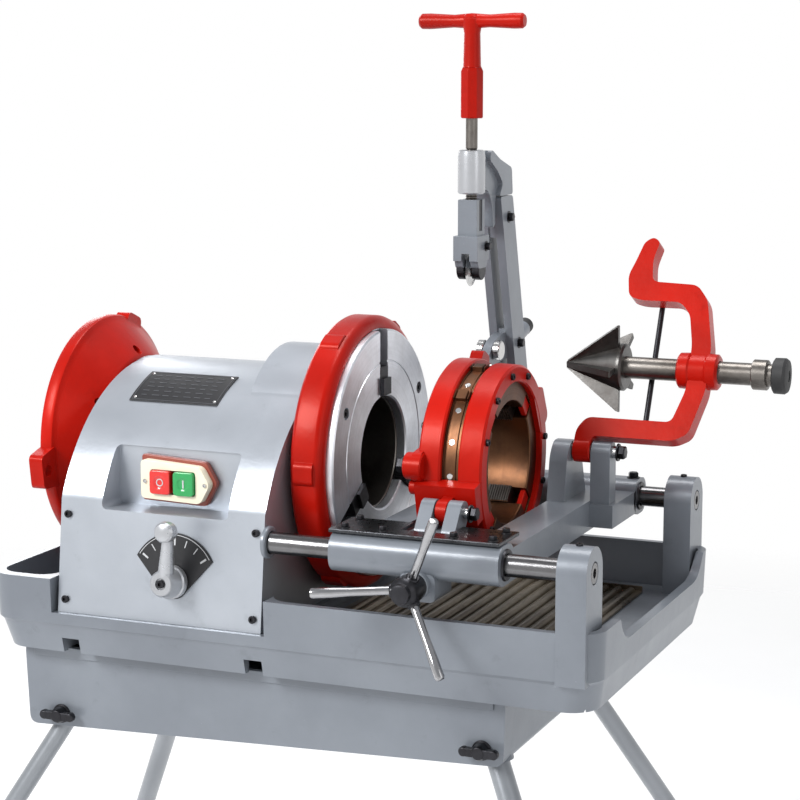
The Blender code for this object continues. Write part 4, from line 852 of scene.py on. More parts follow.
# ---- chucks -------------------------------------------------------------------------
def make_chuck_disc():
    face = CHUCK_FACE
    disc = turned([(-0.036, SPINDLE_R + GAP), (-0.036, 0.095), (-0.022, 0.095), (-0.022, DISC_R - 0.001),
                   (-0.021, DISC_R), (face - 0.0015, DISC_R), (face, DISC_R - 0.0018), (face, 0.0985),
                   (face - 0.0009, 0.0980), (face - 0.0009, 0.0965), (face, 0.0960), (face, 0.0618),
                   (face - 0.0015, 0.060), (-0.003, 0.060), (-0.003, SPINDLE_R + GAP)], 128)
    slots = [radial_box(-0.003, 0.02, 0.02, 0.14, 0.010, a) for a in JAW_ANGLES]
    sinks = [rod(polar(face - 0.005, 0.112, a), polar(0.02, 0.112, a), 0.0065, 32, 0)
             for a in SCREW_ANGLES]
    piece("chuck_disc", less(disc, *slots, *sinks), "turned", "spindle_body", ["chuck_body"],
          0.0006, 2, 28)
    # Thin black sheets on the jaw-slot floors: painted shade, darkening the slots where shade falls in
    # them.
    slot_shade_sheets = [radial_box(-0.0031, -0.0022, 0.0605, 0.1295, 0.0099, a) for a in JAW_ANGLES]
    piece("slot_painted_shade", together(*slot_shade_sheets), "black", "spindle_body")
    screws = [cap_screw(polar(face - 0.005, 0.112, a), (1, 0, 0), 0.0048) for a in SCREW_ANGLES]
    piece("chuck_screws", together(*screws), "black", "spindle_body")


def make_chuck_ring():
    back = RING_LOW.x - ORIGIN.x
    ring = turned([(back, 0.0955), (back, 0.1340), (back + 0.0015, 0.1385), (back + 0.0045, 0.1430),
                   (back + 0.0080, RING_R), (-0.0085, RING_R), (-0.0050, 0.1436), (-0.0022, 0.1405),
                   (-0.0004, 0.1365), (0.0, 0.1335), (0.0, DISC_R + 0.0009), (-0.0010, DISC_R + GAP),
                   (-0.0223, DISC_R + GAP), (-0.0223, 0.0955)], 160)
    outline = rounded([(0.1365, -0.016), (0.1482, -0.010), (0.1485, 0.010), (0.1365, 0.016)], 0.005)
    grips = [about_x(slab(outline, -0.0290, -0.0080), angle) for angle in range(0, 360, 60)]
    piece("chuck_ring", joined(ring, *grips), "red", "chuck_wheel", ["chuck_handwheel"], 0.0022, 3, 33)


def make_front_jaws():
    for number, angle in enumerate(JAW_ANGLES, 1):
        jaw = joined(box((-0.0027, 0.0622, -0.0096), (0.0080, 0.0918, 0.0096)),
                     box((0.0075, 0.0622, -0.0096), (0.0118, 0.0800, 0.0096)))
        teeth = [pin(-0.01, 0.02, (0.0612, -0.0075 + 0.0030 * k), 0.0016, 10, 0) for k in range(6)]
        piece(f"front_jaw_{number}", about_x(less(jaw, *teeth), angle), "black", f"jaw_{number}",
              [f"chuck_jaw_{number}"], 0.0005, 2)


def make_spindle():
    left, right = SPINDLE_LOW.x - ORIGIN.x, SPINDLE_HIGH.x - ORIGIN.x
    barrel = turned([(left, BORE + 0.001), (left + 0.001, BORE), (right - 0.001, BORE),
                     (right, BORE + 0.001), (right, SPINDLE_R - 0.001), (right - 0.001, SPINDLE_R),
                     (left + 0.001, SPINDLE_R), (left, SPINDLE_R - 0.001)], 128)
    piece("spindle_tube", barrel, "oily", "spindle_body", ["spindle"])


def make_rear_chuck():
    body = turned([(-0.345, 0.0615), (-0.3435, 0.060), (-0.3283, 0.060), (-0.3283, SPINDLE_R + GAP),
                   (-0.279, SPINDLE_R + GAP), (-0.279, 0.074), (-0.331, 0.074), (-0.331, 0.0970),
                   (-0.332, 0.098), (-0.344, 0.098), (-0.345, 0.0965)], 112)
    slots = [radial_box(-0.35, -0.338, 0.02, 0.12, 0.008, a) for a in JAW_ANGLES]
    piece("rear_chuck_disc", less(body, *slots), "turned", "spindle_body", ["rear_chuck_body"],
          0.0005, 2, 28)
    make_rear_dish()
    for number, angle in enumerate(JAW_ANGLES, 1):
        jaw = joined(box((-0.3520, 0.0622, -0.0076), (-0.3384, 0.0800, 0.0076)),
                     box((-0.3460, 0.0622, -0.0076), (-0.3384, 0.0918, 0.0076)))
        piece(f"back_jaw_{number}", about_x(jaw, angle), "black", f"rear_jaw_{number}_body",
              [f"rear_jaw_{number}"], 0.0006, 2)


def make_rear_dish():
    dish = turned([(-0.284, 0.0744), (-0.2832, 0.084), (-0.2860, 0.0905), (-0.3180, 0.1235),
                   (-0.3205, 0.1275), (-0.3220, 0.1300), (-0.3250, 0.1311), (-0.3330, 0.1311),
                   (-0.3358, 0.1295), (-0.3362, 0.1240), (-0.3340, 0.1185), (-0.3300, 0.1145),
                   (-0.2935, 0.0790), (-0.2960, 0.0765), (-0.3250, 0.0765), (-0.3250, 0.0744)], 144)
    lugs = []
    for angle, reach, half in ((188, 0.152, 0.018), (68, 0.136, 0.014), (308, 0.136, 0.014)):
        outline = rounded([(0.118, -half * 1.25), (reach, -half), (reach, half), (0.118, half * 1.25)],
                          0.006)
        lugs.append(about_x(slab(outline, -0.3360, -0.3200), angle))
    holes = [about_x(pin(-0.35, -0.31, (0.141, 0), 0.0065, 32, 0), 188)]
    holes += [about_x(pin(-0.36, -0.27, (0.094, 0), 0.005, 24, 0), a) for a in range(30, 390, 60)]
    piece("rear_dish", less(joined(dish, *lugs), *holes), "red", "rear_wheel",
          ["rear_chuck_wheel"], 0.0018, 3, 33)


# ---- carriage -----------------------------------------------------------------------
def carriage_sleeves():
    """The front and rear sleeves on their rails, and the two beams between them."""
    return [slab(rounded_rectangle(-0.206, -0.160, -0.083, -0.044, 0.0165, 14), 0.036, 0.212),
            slab(rounded_rectangle(0.160, 0.206, -0.083, -0.044, 0.0165, 14), 0.045, 0.236),
            box((0.045, -0.165, -0.084), (0.075, 0.165, -0.052)),
            box((0.168, -0.165, -0.084), (0.210, 0.165, -0.052))]


def feed_boss():
    left, right = FEED_X - 0.018, FEED_X + 0.018
    outline = rounded([(left, -0.075), (left, -0.102), (right, -0.102), (right, -0.075)], 0.006)
    return [slab(outline, -0.206, -0.162, "Y"),
            rod((FEED_X, -0.200, FEED_Z), (FEED_X, -0.214, FEED_Z), 0.0138, 48, 0.001)]


def carriage_hinges():
    """Lugs for the die head, an upright and yoke for the reamer and ears for the cutter."""
    lugs = [slab(capsule(DIE_HINGE, (-0.140, -0.050), 0.012), x0, x1)
            for x0, x1 in ((0.104, 0.1185), (0.1325, 0.147))]
    upright = slab(rounded([(0.062, -0.060), (0.072, -0.004), (0.084, 0.010), (0.106, 0.010),
                            (0.120, -0.004), (0.140, -0.060)], 0.008), 0.168, 0.1875)
    yoke = [box((0.2095, 0.084, -0.060), (0.231, 0.106, 0.0)),
            pin(0.2095, 0.231, REAM_PIVOT, 0.0110, 48, 0.0005)]
    ears = [slab(capsule(CUT_PIVOT, (CUT_PIVOT[0] - 0.004, CUT_PIVOT[1] - 0.035), 0.0105), x0, x1)
            for x0, x1 in ((0.0455, 0.0528), (0.0672, 0.0745))]
    return [box((0.100, -0.170, -0.070), (0.151, -0.118, -0.046)), *lugs, upright, *yoke,
            box((0.205, 0.080, -0.080), (0.236, 0.166, -0.055)), *ears]


def make_carriage():
    solid = joined(*carriage_sleeves(), *feed_boss(), *carriage_hinges())
    bores = [pin(0.0, 0.28, (s * RAIL_Y, RAIL_Z), RAIL_R + GAP, 64, 0) for s in (-1, 1)]
    pocket = rod((FEED_X, -RAIL_Y - 0.0093, FEED_Z), (FEED_X, -RAIL_Y + 0.0093, FEED_Z), 0.0128, 40, 0)
    piece("carriage_casting", less(solid, *bores, pocket), "grey", "carriage_body", ["carriage"],
          0.0018, 3, 34)
    pins = [pin(0.1020, 0.1530, DIE_HINGE, 0.0055), pin(0.175, 0.2365, REAM_PIVOT, 0.0065),
            pin(0.0450, 0.0750, CUT_PIVOT, 0.0050, 32, 0.0006)]
    piece("carriage_pins", together(*pins), "bright", "carriage_body")
    seal = [(0, RAIL_R + 0.0005), (0, 0.0150), (0.0022, 0.0158), (0.0022, RAIL_R + 0.0005)]
    wipers = [revolved(seal, (x, s * RAIL_Y, RAIL_Z), (x + d, s * RAIL_Y, RAIL_Z), 48)
              for s, x, d in ((-1, 0.0340, 1), (-1, 0.2140, -1), (1, 0.0430, 1), (1, 0.2380, -1))]
    piece("rail_wipers", together(*wipers), "black", "carriage_body")
    heads = [hex_bolt((0.1530, *DIE_HINGE), (1, 0, 0), 0.0062),
             hex_bolt((0.2362, *REAM_PIVOT), (1, 0, 0), 0.0066)]
    heads += [hex_bolt((x, RAIL_Y, -0.0442), UP, 0.005) for x in (0.194, 0.228)]
    piece("carriage_nuts", together(*heads), "black", "carriage_body")
    make_carriage_sheet()


def make_carriage_sheet():
    low, high = local("carriage_plate")
    opening = box((0.100, -0.1755, -0.06), (0.151, -0.13, 0.0))
    piece("carriage_sheet", less(box(low, high), opening), "sheet", "carriage_body",
          ["carriage_plate"], 0.0006, 2)
    places = [(x, -0.187) for x in (0.046, 0.086, 0.160, 0.200)] + [(0.046, -0.150), (0.200, -0.150)]
    screws = [hex_bolt((x, y, high.z), UP, 0.0036) for x, y in places]
    piece("carriage_sheet_bolts", together(*screws), "black", "carriage_body")


def make_feed_handle():
    hub = revolved([(0, 0), (0, 0.0120), (0.0010, 0.0138), (0.0090, 0.0145), (0.0250, 0.0145),
                    (0.0285, 0.0130), (0.0310, 0.0100), (0.0360, 0.0092), (0.0368, 0.0070),
                    (0.0368, 0)], (FEED_X, -0.2145, FEED_Z), (FEED_X, -0.30, FEED_Z), 56)
    piece("feed_hub", hub, "black", "feed_wheel", ["feed_handle"])
    centre = Vector((FEED_X, -0.228, FEED_Z))
    bars, collars = [], []
    for k in range(3):
        a = math.radians(62.5 + 120 * k)
        out = Vector((math.cos(a), -0.40, math.sin(a)))
        start, end = centre + out * 0.008, centre + out * 0.0875
        length = (end - start).length
        bars.append(revolved([(0, 0), (0, 0.0042), (length * 0.55, 0.0042), (length * 0.75, 0.0050),
                              (length - 0.003, 0.0050), (length - 0.0008, 0.0040), (length, 0)],
                             start, end, 32))
        near = centre + out * 0.0125
        collars.append(revolved([(0, 0), (0, 0.0066), (0.004, 0.0066), (0.005, 0.0056), (0.005, 0)],
                                near, end, 28))
    piece("feed_rods", together(*bars), "chrome", "feed_wheel")
    piece("feed_collars", together(*collars), "black", "feed_wheel")
    stub = rod((FEED_X, -0.2155, FEED_Z), (FEED_X, -RAIL_Y, FEED_Z), 0.0058)
    piece("feed_shaft", stub, "bright", "feed_wheel")


# ---- die head -----------------------------------------------------------------------
def make_die_head_core():
    core = turned([(0.0905, 0.0645), (0.0905, 0.0834), (0.103, 0.0834), (0.103, 0.0802),
                   (0.140, 0.0802), (0.140, 0.0834), (0.1490, 0.0834), (0.1490, 0.0645),
                   (0.1480, 0.0636), (0.0915, 0.0636)], 144)
    windows = [radial_box(0.108, 0.160, 0.05, 0.081, 0.0100, a) for a in DIE_ANGLES]
    piece("die_head_core", less(core, *windows), "bronze", "die_head", bevel=0.0008)
    keepers = [radial_box(0.1420, 0.1478, 0.0660, 0.0800, 0.0098, a) for a in DIE_ANGLES]
    piece("die_keepers", together(*keepers), "red", "die_head", bevel=0.0010)


def make_die_head():
    """The red casting: two plates joined at the hinge, with its eye, boss, bulge and lever."""
    heading = math.degrees(math.atan2(DIE_HINGE[1], DIE_HINGE[0]))
    plates = turned([(0.088, 0.0840), (0.088, 0.1020), (0.0905, 0.1050), (0.1105, 0.1050),
                     (0.1125, 0.1035), (0.1125, 0.0992), (0.103, 0.0992), (0.103, 0.0810),
                     (0.140, 0.0810), (0.140, 0.0992), (0.1305, 0.0992), (0.1305, 0.1005),
                     (0.1320, 0.1015), (0.1530, 0.1010), (0.155, 0.0985), (0.155, 0.0850),
                     (0.1535, 0.0836), (0.0895, 0.0836)], 144)
    block = less(radial_box(0.089, 0.154, 0.090, 0.114, 0.020, heading),
                 tube(0.1025, 0.1405, 0.0001, 0.0995, 96))
    eye = pin(0.1195, 0.1315, DIE_HINGE, 0.0115, 48, 0.0006)
    neck = radial_box(0.1200, 0.1310, 0.106, math.hypot(*DIE_HINGE), 0.0095, heading)
    boss = about_x(pin(0.0765, 0.096, (0.104, 0), 0.0138, 48, 0.0012), 175)
    web = about_x(slab(rounded([(0.088, -0.019), (0.112, -0.0135), (0.1165, 0.0), (0.112, 0.0135),
                                (0.088, 0.019)], 0.005), 0.0850, 0.0945), 175)
    small = about_x(pin(0.0795, 0.096, (0.098, 0.0215), 0.0078, 40, 0.0012), 175)
    outline = rounded([(0.080, -0.026), (0.108, -0.020), (0.108, 0.020), (0.080, 0.026)], 0.007)
    bulge = about_x(slab(outline, 0.1415, 0.1545), 28)
    grip = rounded([(0.090, -0.015), (0.118, -0.010), (0.118, 0.010), (0.090, 0.015)], 0.005)
    lever = about_x(slab(grip, 0.0885, 0.1025), 62)
    body = less(joined(plates, block, neck, eye, boss, web, small, bulge, lever),
                pin(0.10, 0.15, DIE_HINGE, 0.0058, 32, 0))
    piece("die_head_casting", body, "red", "die_head", ["die_head_body"], 0.0014, 3, 34)
    bolts = [cap_screw(polar(0.155, 0.0918, a), (1, 0, 0), 0.0036)
             for a in (8, 68, 98, 128, 158, 218, 248, 278, 308, 338)]
    bolts += [cap_screw(polar(0.088, 0.0925, a), (-1, 0, 0), 0.0042) for a in range(15, 375, 45)]
    bolts.append(hex_bolt(polar(0.0768, 0.104, 175), (-1, 0, 0), 0.0072))
    piece("die_head_bolts", together(*bolts), "black", "die_head")


def make_cam_ring():
    cam = tube(0.1033, 0.1397, 0.0804, 0.0985, 144)
    grips = [radial_box(0.1135, 0.1295, 0.094, 0.1033, 0.006, a) for a in (100, 130)]
    grooves = [tube(x, x + 0.0022, 0.0972, 0.12, 144) for x in (0.1140, 0.1265)]
    piece("cam_casting", less(joined(cam, *grips), *grooves), "bronze", "cam_ring",
          ["die_cam_ring"], 0.0008, 2, 30)
    studs = [rod(polar(0.121, 0.0978, a), polar(0.121, 0.0991, a), 0.0032, 24, 0.0004)
             for a in range(20, 181, 20)]
    piece("cam_studs", together(*studs), "bright", "cam_ring")


def make_dies():
    for number, angle in enumerate(DIE_ANGLES, 1):
        die = box((0.1083, 0.0590, -0.0096), (0.1337, 0.0787, 0.0096))
        cuts = [box((0.1083 + k * 0.0026, 0.0580, -0.02), (0.1083 + k * 0.0026 + 0.0013, 0.0604, 0.02))
                for k in range(10)]
        piece(f"die_block_{number}", about_x(less(die, together(*cuts)), angle), "oily",
              f"die_{number}_body", [f"die_{number}"])


# ---- cutter -------------------------------------------------------------------------
def column_outline(low, high, inset):
    """Side outline (y, z) of the leaning cutter column between two heights."""
    def near(z):
        return CUT_COLUMN_Y - CUT_COLUMN_LEAN * z

    return [(near(low) + inset, low), (near(low) + CUT_COLUMN_WIDE - inset, low),
            (near(high) + CUT_COLUMN_WIDE - inset, high), (near(high) + inset, high)]


def on_screw(profile, z, sides):
    """Spin (height above z, radius) points about the cutter screw's own line."""
    return revolved(profile, (CUT_X, CUT_Y, z), (CUT_X, CUT_Y, z + 1), sides)


def screw_rod(low, high, radius, sides=40, chamfer=0.0006):
    return rod((CUT_X, CUT_Y, low), (CUT_X, CUT_Y, high), radius, sides, chamfer)


def make_cutter_frame():
    foot = slab(rounded([(0.1335, -0.030), (0.140, -0.0400), (0.152, -0.0412), (0.255, -0.030),
                         (0.284, 0.005), (0.282, 0.030), (0.245, 0.020), (0.205, 0.0),
                         (0.150, -0.018), (0.138, -0.021)], 0.006), CUT_X - 0.0068, CUT_X + 0.0068)
    rails = [slab(rounded(column_outline(0.0, 0.2618, 0.0004), 0.005), a, b)
             for a, b in ((CUT_LEFT + 0.001, CUT_LEFT + 0.0105), (CUT_RIGHT - 0.0105, CUT_RIGHT - 0.001))]
    ties = [slab(column_outline(low, high, 0.0025), CUT_LEFT + 0.002, CUT_RIGHT - 0.002)
            for low, high in ((0.004, 0.040), (0.075, 0.110), (0.215, 0.258))]
    bracket = slab(rounded([(0.226, 0.076), (0.226, 0.106), (0.200, 0.106), (0.175, 0.098),
                            (0.122, 0.046), (0.102, 0.046), (0.102, 0.036), (0.128, 0.034),
                            (0.186, 0.074)], 0.008), CUT_X - 0.005, CUT_X + 0.005)
    stub = rod((CUT_X, 0.236, 0.088), (CUT_X, 0.292, 0.1029), 0.0092, 40, 0.0008)
    bore = pin(CUT_LEFT - 0.01, CUT_RIGHT + 0.01, CUT_PIVOT, 0.0053, 32, 0)
    piece("cutter_frame_casting", less(joined(foot, *rails, *ties, bracket, stub), bore), "grey",
          "cutter_frame", ["cutter_arm"], 0.0014, 3, 33)
    cap = rod((CUT_X, 0.2865, 0.1014), (CUT_X, 0.3005, 0.1051), 0.0094, 40, 0.002)
    piece("cutter_stub_cap", cap, "rubber", "cutter_frame")
    bolts = [hex_bolt((CUT_RIGHT - 0.0014, y, z), (1, 0, 0), 0.0046)
             for y, z in ((0.237, 0.092), (0.256, 0.022), (0.199, 0.238))]
    bolts.append(hex_bolt((CUT_X, 0.2205, 0.226), (0, 1, CUT_COLUMN_LEAN), 0.0052))
    piece("cutter_frame_bolts", together(*bolts), "black", "cutter_frame")


def make_cutter_head():
    y = CUT_Y
    casting = slab(rounded([(y - 0.010, 0.275), (y - 0.010, 0.309), (y + 0.026, 0.3148),
                            (y + 0.052, 0.303), (y + 0.090, 0.292), (y + 0.094, 0.2627),
                            (y + 0.0515, 0.2627), (y + 0.0525, 0.232), (y + 0.046, 0.227),
                            (y + 0.043, 0.250), (y + 0.033, 0.268), (y + 0.017, 0.273)], 0.008, 8),
                   CUT_X - 0.0085, CUT_X + 0.0085)
    flange = slab(rounded([(y + 0.026, 0.3149), (y + 0.052, 0.3035), (y + 0.0905, 0.2925),
                           (y + 0.094, 0.2627), (y + 0.0515, 0.2627), (y + 0.062, 0.276),
                           (y + 0.046, 0.290), (y + 0.020, 0.304)], 0.005),
                  CUT_LEFT + 0.0012, CUT_RIGHT - 0.0012)
    boss = on_screw([(0, 0), (0, 0.0135), (0.0015, 0.0149), (0.040, 0.0149), (0.0462, 0.0140),
                     (0.0472, 0.0120), (0.0472, 0)], 0.268, 56)
    piece("cutter_boss", less(boss, screw_rod(0.24, 0.33, 0.0068, 40, 0)), "silver", "cutter_frame")
    casting = less(joined(casting, flange), screw_rod(0.24, 0.33, 0.0146, 40, 0))
    piece("cutter_head_casting", casting, "grey", "cutter_frame", ["cutter_head"], 0.0014, 3, 34)


def make_cutter_handle():
    plain = [screw_rod(0.3165, 0.352, 0.0064), screw_rod(0.2235, 0.300, 0.0058)]
    piece("cutter_screw_rod", together(*plain), "oily", "cutter_handle")
    turns = thread((CUT_X, CUT_Y, 0.262), (CUT_X, CUT_Y, 0.318), 0.0064, 0.0022, 0.0008)
    piece("cutter_screw_thread", turns, "oily", "cutter_handle")
    grip = on_screw([(0, 0), (0, 0.0118), (0.0012, 0.0128), (0.050, 0.0128), (0.054, 0.0110),
                     (0.054, 0)], 0.349, 8)
    neck = on_screw([(0, 0), (0, 0.0110), (0.006, 0.0096), (0.040, 0.0088), (0.050, 0.0105),
                     (0.056, 0.0105), (0.056, 0)], 0.399, 40)
    piece("cutter_handle_sleeve", joined(grip, neck), "red", "cutter_handle", ["cutter_screw"],
          0.0009, 2)
    bar = revolved([(0, 0), (0.0004, 0.0062), (0.003, 0.0082), (0.012, 0.0084), (0.040, 0.0068),
                    (0.060, 0.0084), (0.080, 0.0068), (0.108, 0.0084), (0.117, 0.0082),
                    (0.1196, 0.0062), (0.120, 0)], (CUT_X - 0.060, CUT_Y, 0.452), (CUT_X, CUT_Y, 0.452), 40)
    knot = on_screw([(0, 0), (0.0006, 0.0090), (0.004, 0.0100), (0.012, 0.0096), (0.0148, 0.0076),
                     (0.0150, 0)], 0.4445, 40)
    piece("cutter_handle_bar", joined(bar, knot), "red", "cutter_handle")


def make_wheel_holder():
    x, y = CUT_X, CUT_Y
    chin = slab(rounded([(y - 0.016, 0.198), (y - 0.012, 0.188), (y + 0.012, 0.188), (y + 0.016, 0.198),
                         (y + 0.016, 0.205), (y - 0.016, 0.205)], 0.003), x - 0.0135, x + 0.0135)
    block = joined(box((x - 0.014, y - 0.018, 0.196), (x + 0.014, y + 0.018, 0.223)),
                   box((x - 0.011, y - 0.012, 0.220), (x + 0.011, y + 0.012, 0.262)), chin)
    slit = box((x - 0.0045, y - 0.02, 0.17), (x + 0.0045, y + 0.02, 0.204))
    channels = [box((x + d * 0.011 - 0.0016, y - 0.0045, 0.228),
                    (x + d * 0.011 + 0.0016, y + 0.0045, 0.264)) for d in (-1, 1)]
    block = less(block, slit, screw_rod(0.2232, 0.27, 0.0070, 32, 0), *channels)
    piece("wheel_holder", block, "grey", "cutter_slide", ["cutter_wheel_holder"], 0.0014)
    cheeks = [slab(capsule((y, 0.186), (y, 0.196), 0.0112), *sorted((x + d * 0.0047, x + d * 0.0132)))
              for d in (-1, 1)]
    piece("wheel_cheeks", together(*cheeks), "black", "cutter_slide", bevel=0.0010)
    # Thin black sheets on the floors of the two side grooves: painted shade, darkening the grooves where
    # shade falls in them.
    channel_shade_sheets = [box((x + d * 0.0098 - 0.0003, y - 0.0044, 0.228),
                  (x + d * 0.0098 + 0.0006, y + 0.0044, 0.261)) for d in (-1, 1)]
    piece("holder_channel_painted_shade", together(*channel_shade_sheets), "black", "cutter_slide")
    fork_bolt = hex_bolt((x + 0.0138, y + 0.009, 0.211), (1, 0, 0), 0.0040)
    piece("wheel_fork_bolt", fork_bolt, "black", "cutter_slide")
    wheel = along_x([(-0.012, 0), (-0.012, 0.0025), (-0.0035, 0.0026), (-0.0035, 0.0098),
                     (-0.0012, 0.0128), (0, 0.0174), (0.0012, 0.0128), (0.0035, 0.0098),
                     (0.0035, 0.0026), (0.012, 0.0025), (0.012, 0)], x, (y, 0.185), 64)
    piece("cutter_blade", wheel, "bright", "cutter_disc", ["cutter_wheel"])


def make_support_rollers():
    profile = [(0, 0), (0, 0.0095), (0.0010, 0.0108), (0.0072, 0.0108), (0.0082, 0.0095), (0.0082, 0)]
    for number, place in enumerate(((0.180, 0.090), (0.112, 0.041)), 1):
        halves = [revolved(profile, (CUT_X + d * 0.0056, *place), (CUT_X + d * 0.02, *place), 48)
                  for d in (-1, 1)]
        axle = pin(CUT_LEFT + 0.002, CUT_RIGHT - 0.002, place, 0.0025, 24, 0.0006)
        piece(f"support_roller_{number}", together(*halves, axle), "bright", f"roller_{number}",
              [f"cutter_roller_{number}"])


# ---- reamer -------------------------------------------------------------------------
def leaned(shape):
    return about_x(shape, -REAM_LEAN, REAM_PIVOT)


def make_reamer_arm():
    y, z = REAM_PIVOT
    half = 0.011
    path = [(0.1895, 0.0), (0.2080, 0.0), (0.2083, 0.0135), (0.296, 0.0135), (0.312, 0.022),
            (0.324, 0.070), (0.324, 0.120), (0.313, 0.172), (0.300, 0.188), (0.250, 0.190),
            (0.247, 0.215), (0.252, 0.236), (0.244, 0.241), (0.235, 0.235), (0.228, 0.212),
            (0.222, 0.196), (0.226, 0.172), (0.240, 0.168), (0.284, 0.168), (0.296, 0.155),
            (0.303, 0.120), (0.303, 0.070), (0.292, 0.034), (0.200, 0.034), (0.190, 0.020)]
    bar = slab([(x, z + s) for x, s in rounded(path, 0.007, 7)], y - half, y + half, "Y")
    eye = pin(0.189, 0.208, REAM_PIVOT, 0.013, 48, 0.001)
    hub = along_x([(0, 0), (0, 0.0165), (0.002, 0.0190), (0.012, 0.0195), (0.014, 0.0178),
                   (0.030, 0.0178), (0.032, 0.0195), (0.042, 0.0190), (0.044, 0.0165), (0.044, 0)],
                  0.290, (y, z + REAM_ARM), 64)
    bores = [pin(0.28, 0.35, (y, z + REAM_ARM), 0.0123, 48, 0), pin(0.18, 0.22, REAM_PIVOT, 0.0068, 32, 0)]
    arm = leaned(less(joined(eye, bar, hub), *bores))
    piece("reamer_frame_casting", arm, "red", "reamer_frame", ["reamer_arm"], 0.0042, 5, 40)
    x, side = 0.257, y + half + 0.0055
    ends = [rod((x, y + half - 0.002, z + s), (x, side + 0.003, z + s), 0.0045, 24)
            for s in (0.024, 0.179)]
    stay = leaned(together(rod((x, side, z + 0.018), (x, side, z + 0.185), 0.003, 24), *ends))
    piece("reamer_stay", stay, "black", "reamer_frame", ["reamer_stay_rod"])


def make_reamer_shaft():
    shaft = along_x([(0, 0), (0, 0.0110), (0.001, 0.0118), (0.100, 0.0118), (0.1008, 0.0108),
                     (0.104, 0.0108), (0.1048, 0.0118), (0.177, 0.0118), (0.177, 0)],
                    0.228, REAM_AXIS, 64)
    piece("reamer_spindle", shaft, "oily", "reamer", ["reamer_shaft"])
    collar = along_x([(0, 0.0119), (0, 0.0150), (0.001, 0.0160), (0.015, 0.0160), (0.016, 0.0150),
                      (0.016, 0.0119)], 0.370, REAM_AXIS, 56)
    piece("reamer_collar", collar, "oily", "reamer")
    knob = along_x([(0, 0.0118), (0, 0.0165), (0.0015, 0.0188), (0.0120, 0.0190), (0.0150, 0.0170),
                    (0.0160, 0.0120), (0.0160, 0.0060), (0.0150, 0.0058), (0.0150, 0), (0.010, 0)],
                   0.3918, REAM_AXIS, 48)
    piece("reamer_knob", knob, "rubber", "reamer")


def make_reamer_cutter():
    core = along_x([(0, 0), (0.001, 0.0050), (0.060, 0.0255), (0.064, 0.0255), (0.066, 0.0230),
                    (0.066, 0)], 0.166, REAM_AXIS, 48)
    outline = rounded([(0.0, 0.004), (0.060, 0.0485), (0.0625, 0.0485), (0.060, 0.018), (0.0, 0.0)],
                      0.0015, 3)
    fins = []
    for k in range(5):
        fin = slab(outline, -0.0032, 0.0032, "Y")
        bmesh.ops.translate(fin, verts=fin.verts[:], vec=(0.1655, 0, 0))
        about_x(fin, 72 * k + 20)
        bmesh.ops.translate(fin, verts=fin.verts[:], vec=(0, *REAM_AXIS))
        fins.append(fin)
    piece("reamer_cutter", joined(core, *fins), "cone", "reamer", ["reamer_cone"], 0.0006, 2)


# ---- hidden drive parts and leftovers -----------------------------------------------
def finish_hidden_nodes():
    """CAD nodes whose shape is right keep their mesh and get a finished material."""
    looks = {"headstock_frame": "grey", "gear_motor": "black", "oil_pump": "black",
             "front_spindle_bearing": "bright", "rear_spindle_bearing": "bright",
             "motor_pinion": "bright", "gear_shaft": "bright", "spindle_gear": "bright"}
    for name, paint in looks.items():
        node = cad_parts[name]
        node.data.materials.clear()
        node.data.materials.append(PAINT[paint])


# ---- studio -------------------------------------------------------------------------
def area_light(name, place, size, power):
    """A white lamp that faces the middle of the chuck."""
    lamp = bpy.data.lights.new(name, "AREA")
    lamp.shape = "RECTANGLE"
    lamp.size, lamp.size_y = size
    lamp.energy = power
    made = bpy.data.objects.new(name, lamp)
    bpy.context.scene.collection.objects.link(made)
    made.location = place
    made.rotation_euler = (ORIGIN - Vector(place)).to_track_quat("-Z", "Y").to_euler()


def make_floor():
    """A white floor that fades out three metres from the machine."""
    m = Nodes("studio_floor", 0.75, 0.0)
    m.colour(m.ramp(m.noise(3.0, 3.0), (0.3, 0.86), (0.8, 0.90)))
    away = m.add("ShaderNodeVectorMath", operation="LENGTH")
    m.join(m.place, away.inputs[0])
    scaled = m.add("ShaderNodeMath", operation="MULTIPLY")
    scaled.inputs[1].default_value = 0.2
    m.join(away.outputs["Value"], scaled.inputs[0])
    m.join(m.ramp(scaled.outputs[0], (0.30, 1.0), (0.60, 0.0)), m.shader.inputs["Alpha"])
    shape = bmesh.new()
    bmesh.ops.create_grid(shape, x_segments=8, y_segments=8, size=4.0)
    floor = link("floor", mesh_of(shape, "floor"))
    floor.data.materials.append(m.made)


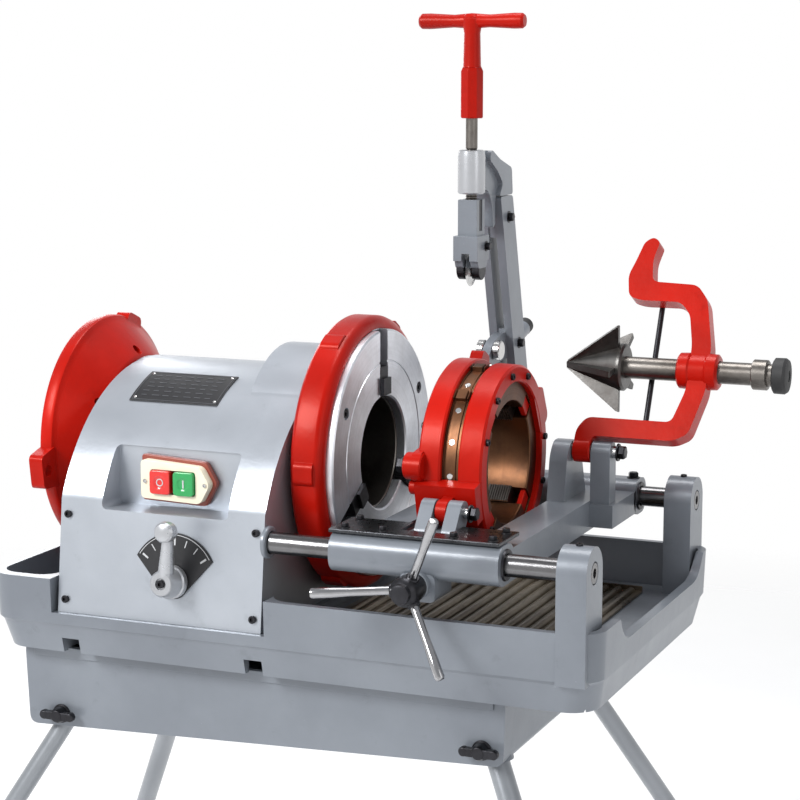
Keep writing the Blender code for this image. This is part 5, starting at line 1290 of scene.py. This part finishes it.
def make_world():
    """White round the horizon and below, dimmer overhead, so that the lamps shape the object."""
    world = bpy.data.worlds.new("studio")
    world.use_nodes = True
    tree = world.node_tree
    place = tree.nodes.new("ShaderNodeTexCoord").outputs["Generated"]
    split = tree.nodes.new("ShaderNodeSeparateXYZ")
    tree.links.new(place, split.inputs[0])
    ramp = tree.nodes.new("ShaderNodeValToRGB")
    low, high = ramp.color_ramp.elements
    low.position, low.color = 0.06, (1.0, 1.0, 1.0, 1)
    high.position, high.color = 0.40, (0.50, 0.51, 0.53, 1)
    tree.links.new(split.outputs[2], ramp.inputs[0])
    tree.links.new(ramp.outputs[0], tree.nodes["Background"].inputs["Color"])
    bpy.context.scene.world = world


def make_studio():
    make_floor()
    make_world()
    area_light("key", (-1.5, -2.5, 2.6), (1.1, 1.1), 110)
    area_light("side", (2.8, -1.2, 1.8), (1.2, 1.6), 8)
    area_light("top", (0.2, 0.5, 3.2), (1.6, 1.0), 46)
    area_light("rim", (-2.2, 2.2, 1.8), (1.2, 1.2), 22)
    bpy.context.scene.view_settings.view_transform = "Standard"
    bpy.context.scene.view_settings.look = "None"


def make_camera():
    """The photograph's viewpoint: 23 degrees round to the right, 9 degrees down."""
    data = bpy.data.cameras.new("camera")
    data.lens = 96.1
    data.sensor_width = 36.0
    camera = bpy.data.objects.new("camera", data)
    bpy.context.scene.collection.objects.link(camera)
    camera.location = ORIGIN + Vector((0.8856, -2.048, 0.4098))
    camera.rotation_euler = (math.radians(90 - 9.02), 0, math.radians(22.775))
    bpy.context.scene.camera = camera


make_camera()
for make in (make_bed, make_tank, make_stand, make_rails, make_chip_tray, make_headstock,
             make_name_plate, make_switch, make_dial, make_speed_lever, make_gland,
             make_chuck_disc, make_chuck_ring, make_front_jaws, make_spindle, make_rear_chuck,
             make_carriage, make_feed_handle, make_die_head_core, make_die_head, make_cam_ring,
             make_dies, make_cutter_frame, make_cutter_head, make_cutter_handle, make_wheel_holder,
             make_support_rollers, make_reamer_arm, make_reamer_shaft, make_reamer_cutter,
             finish_hidden_nodes, make_studio):
    make()
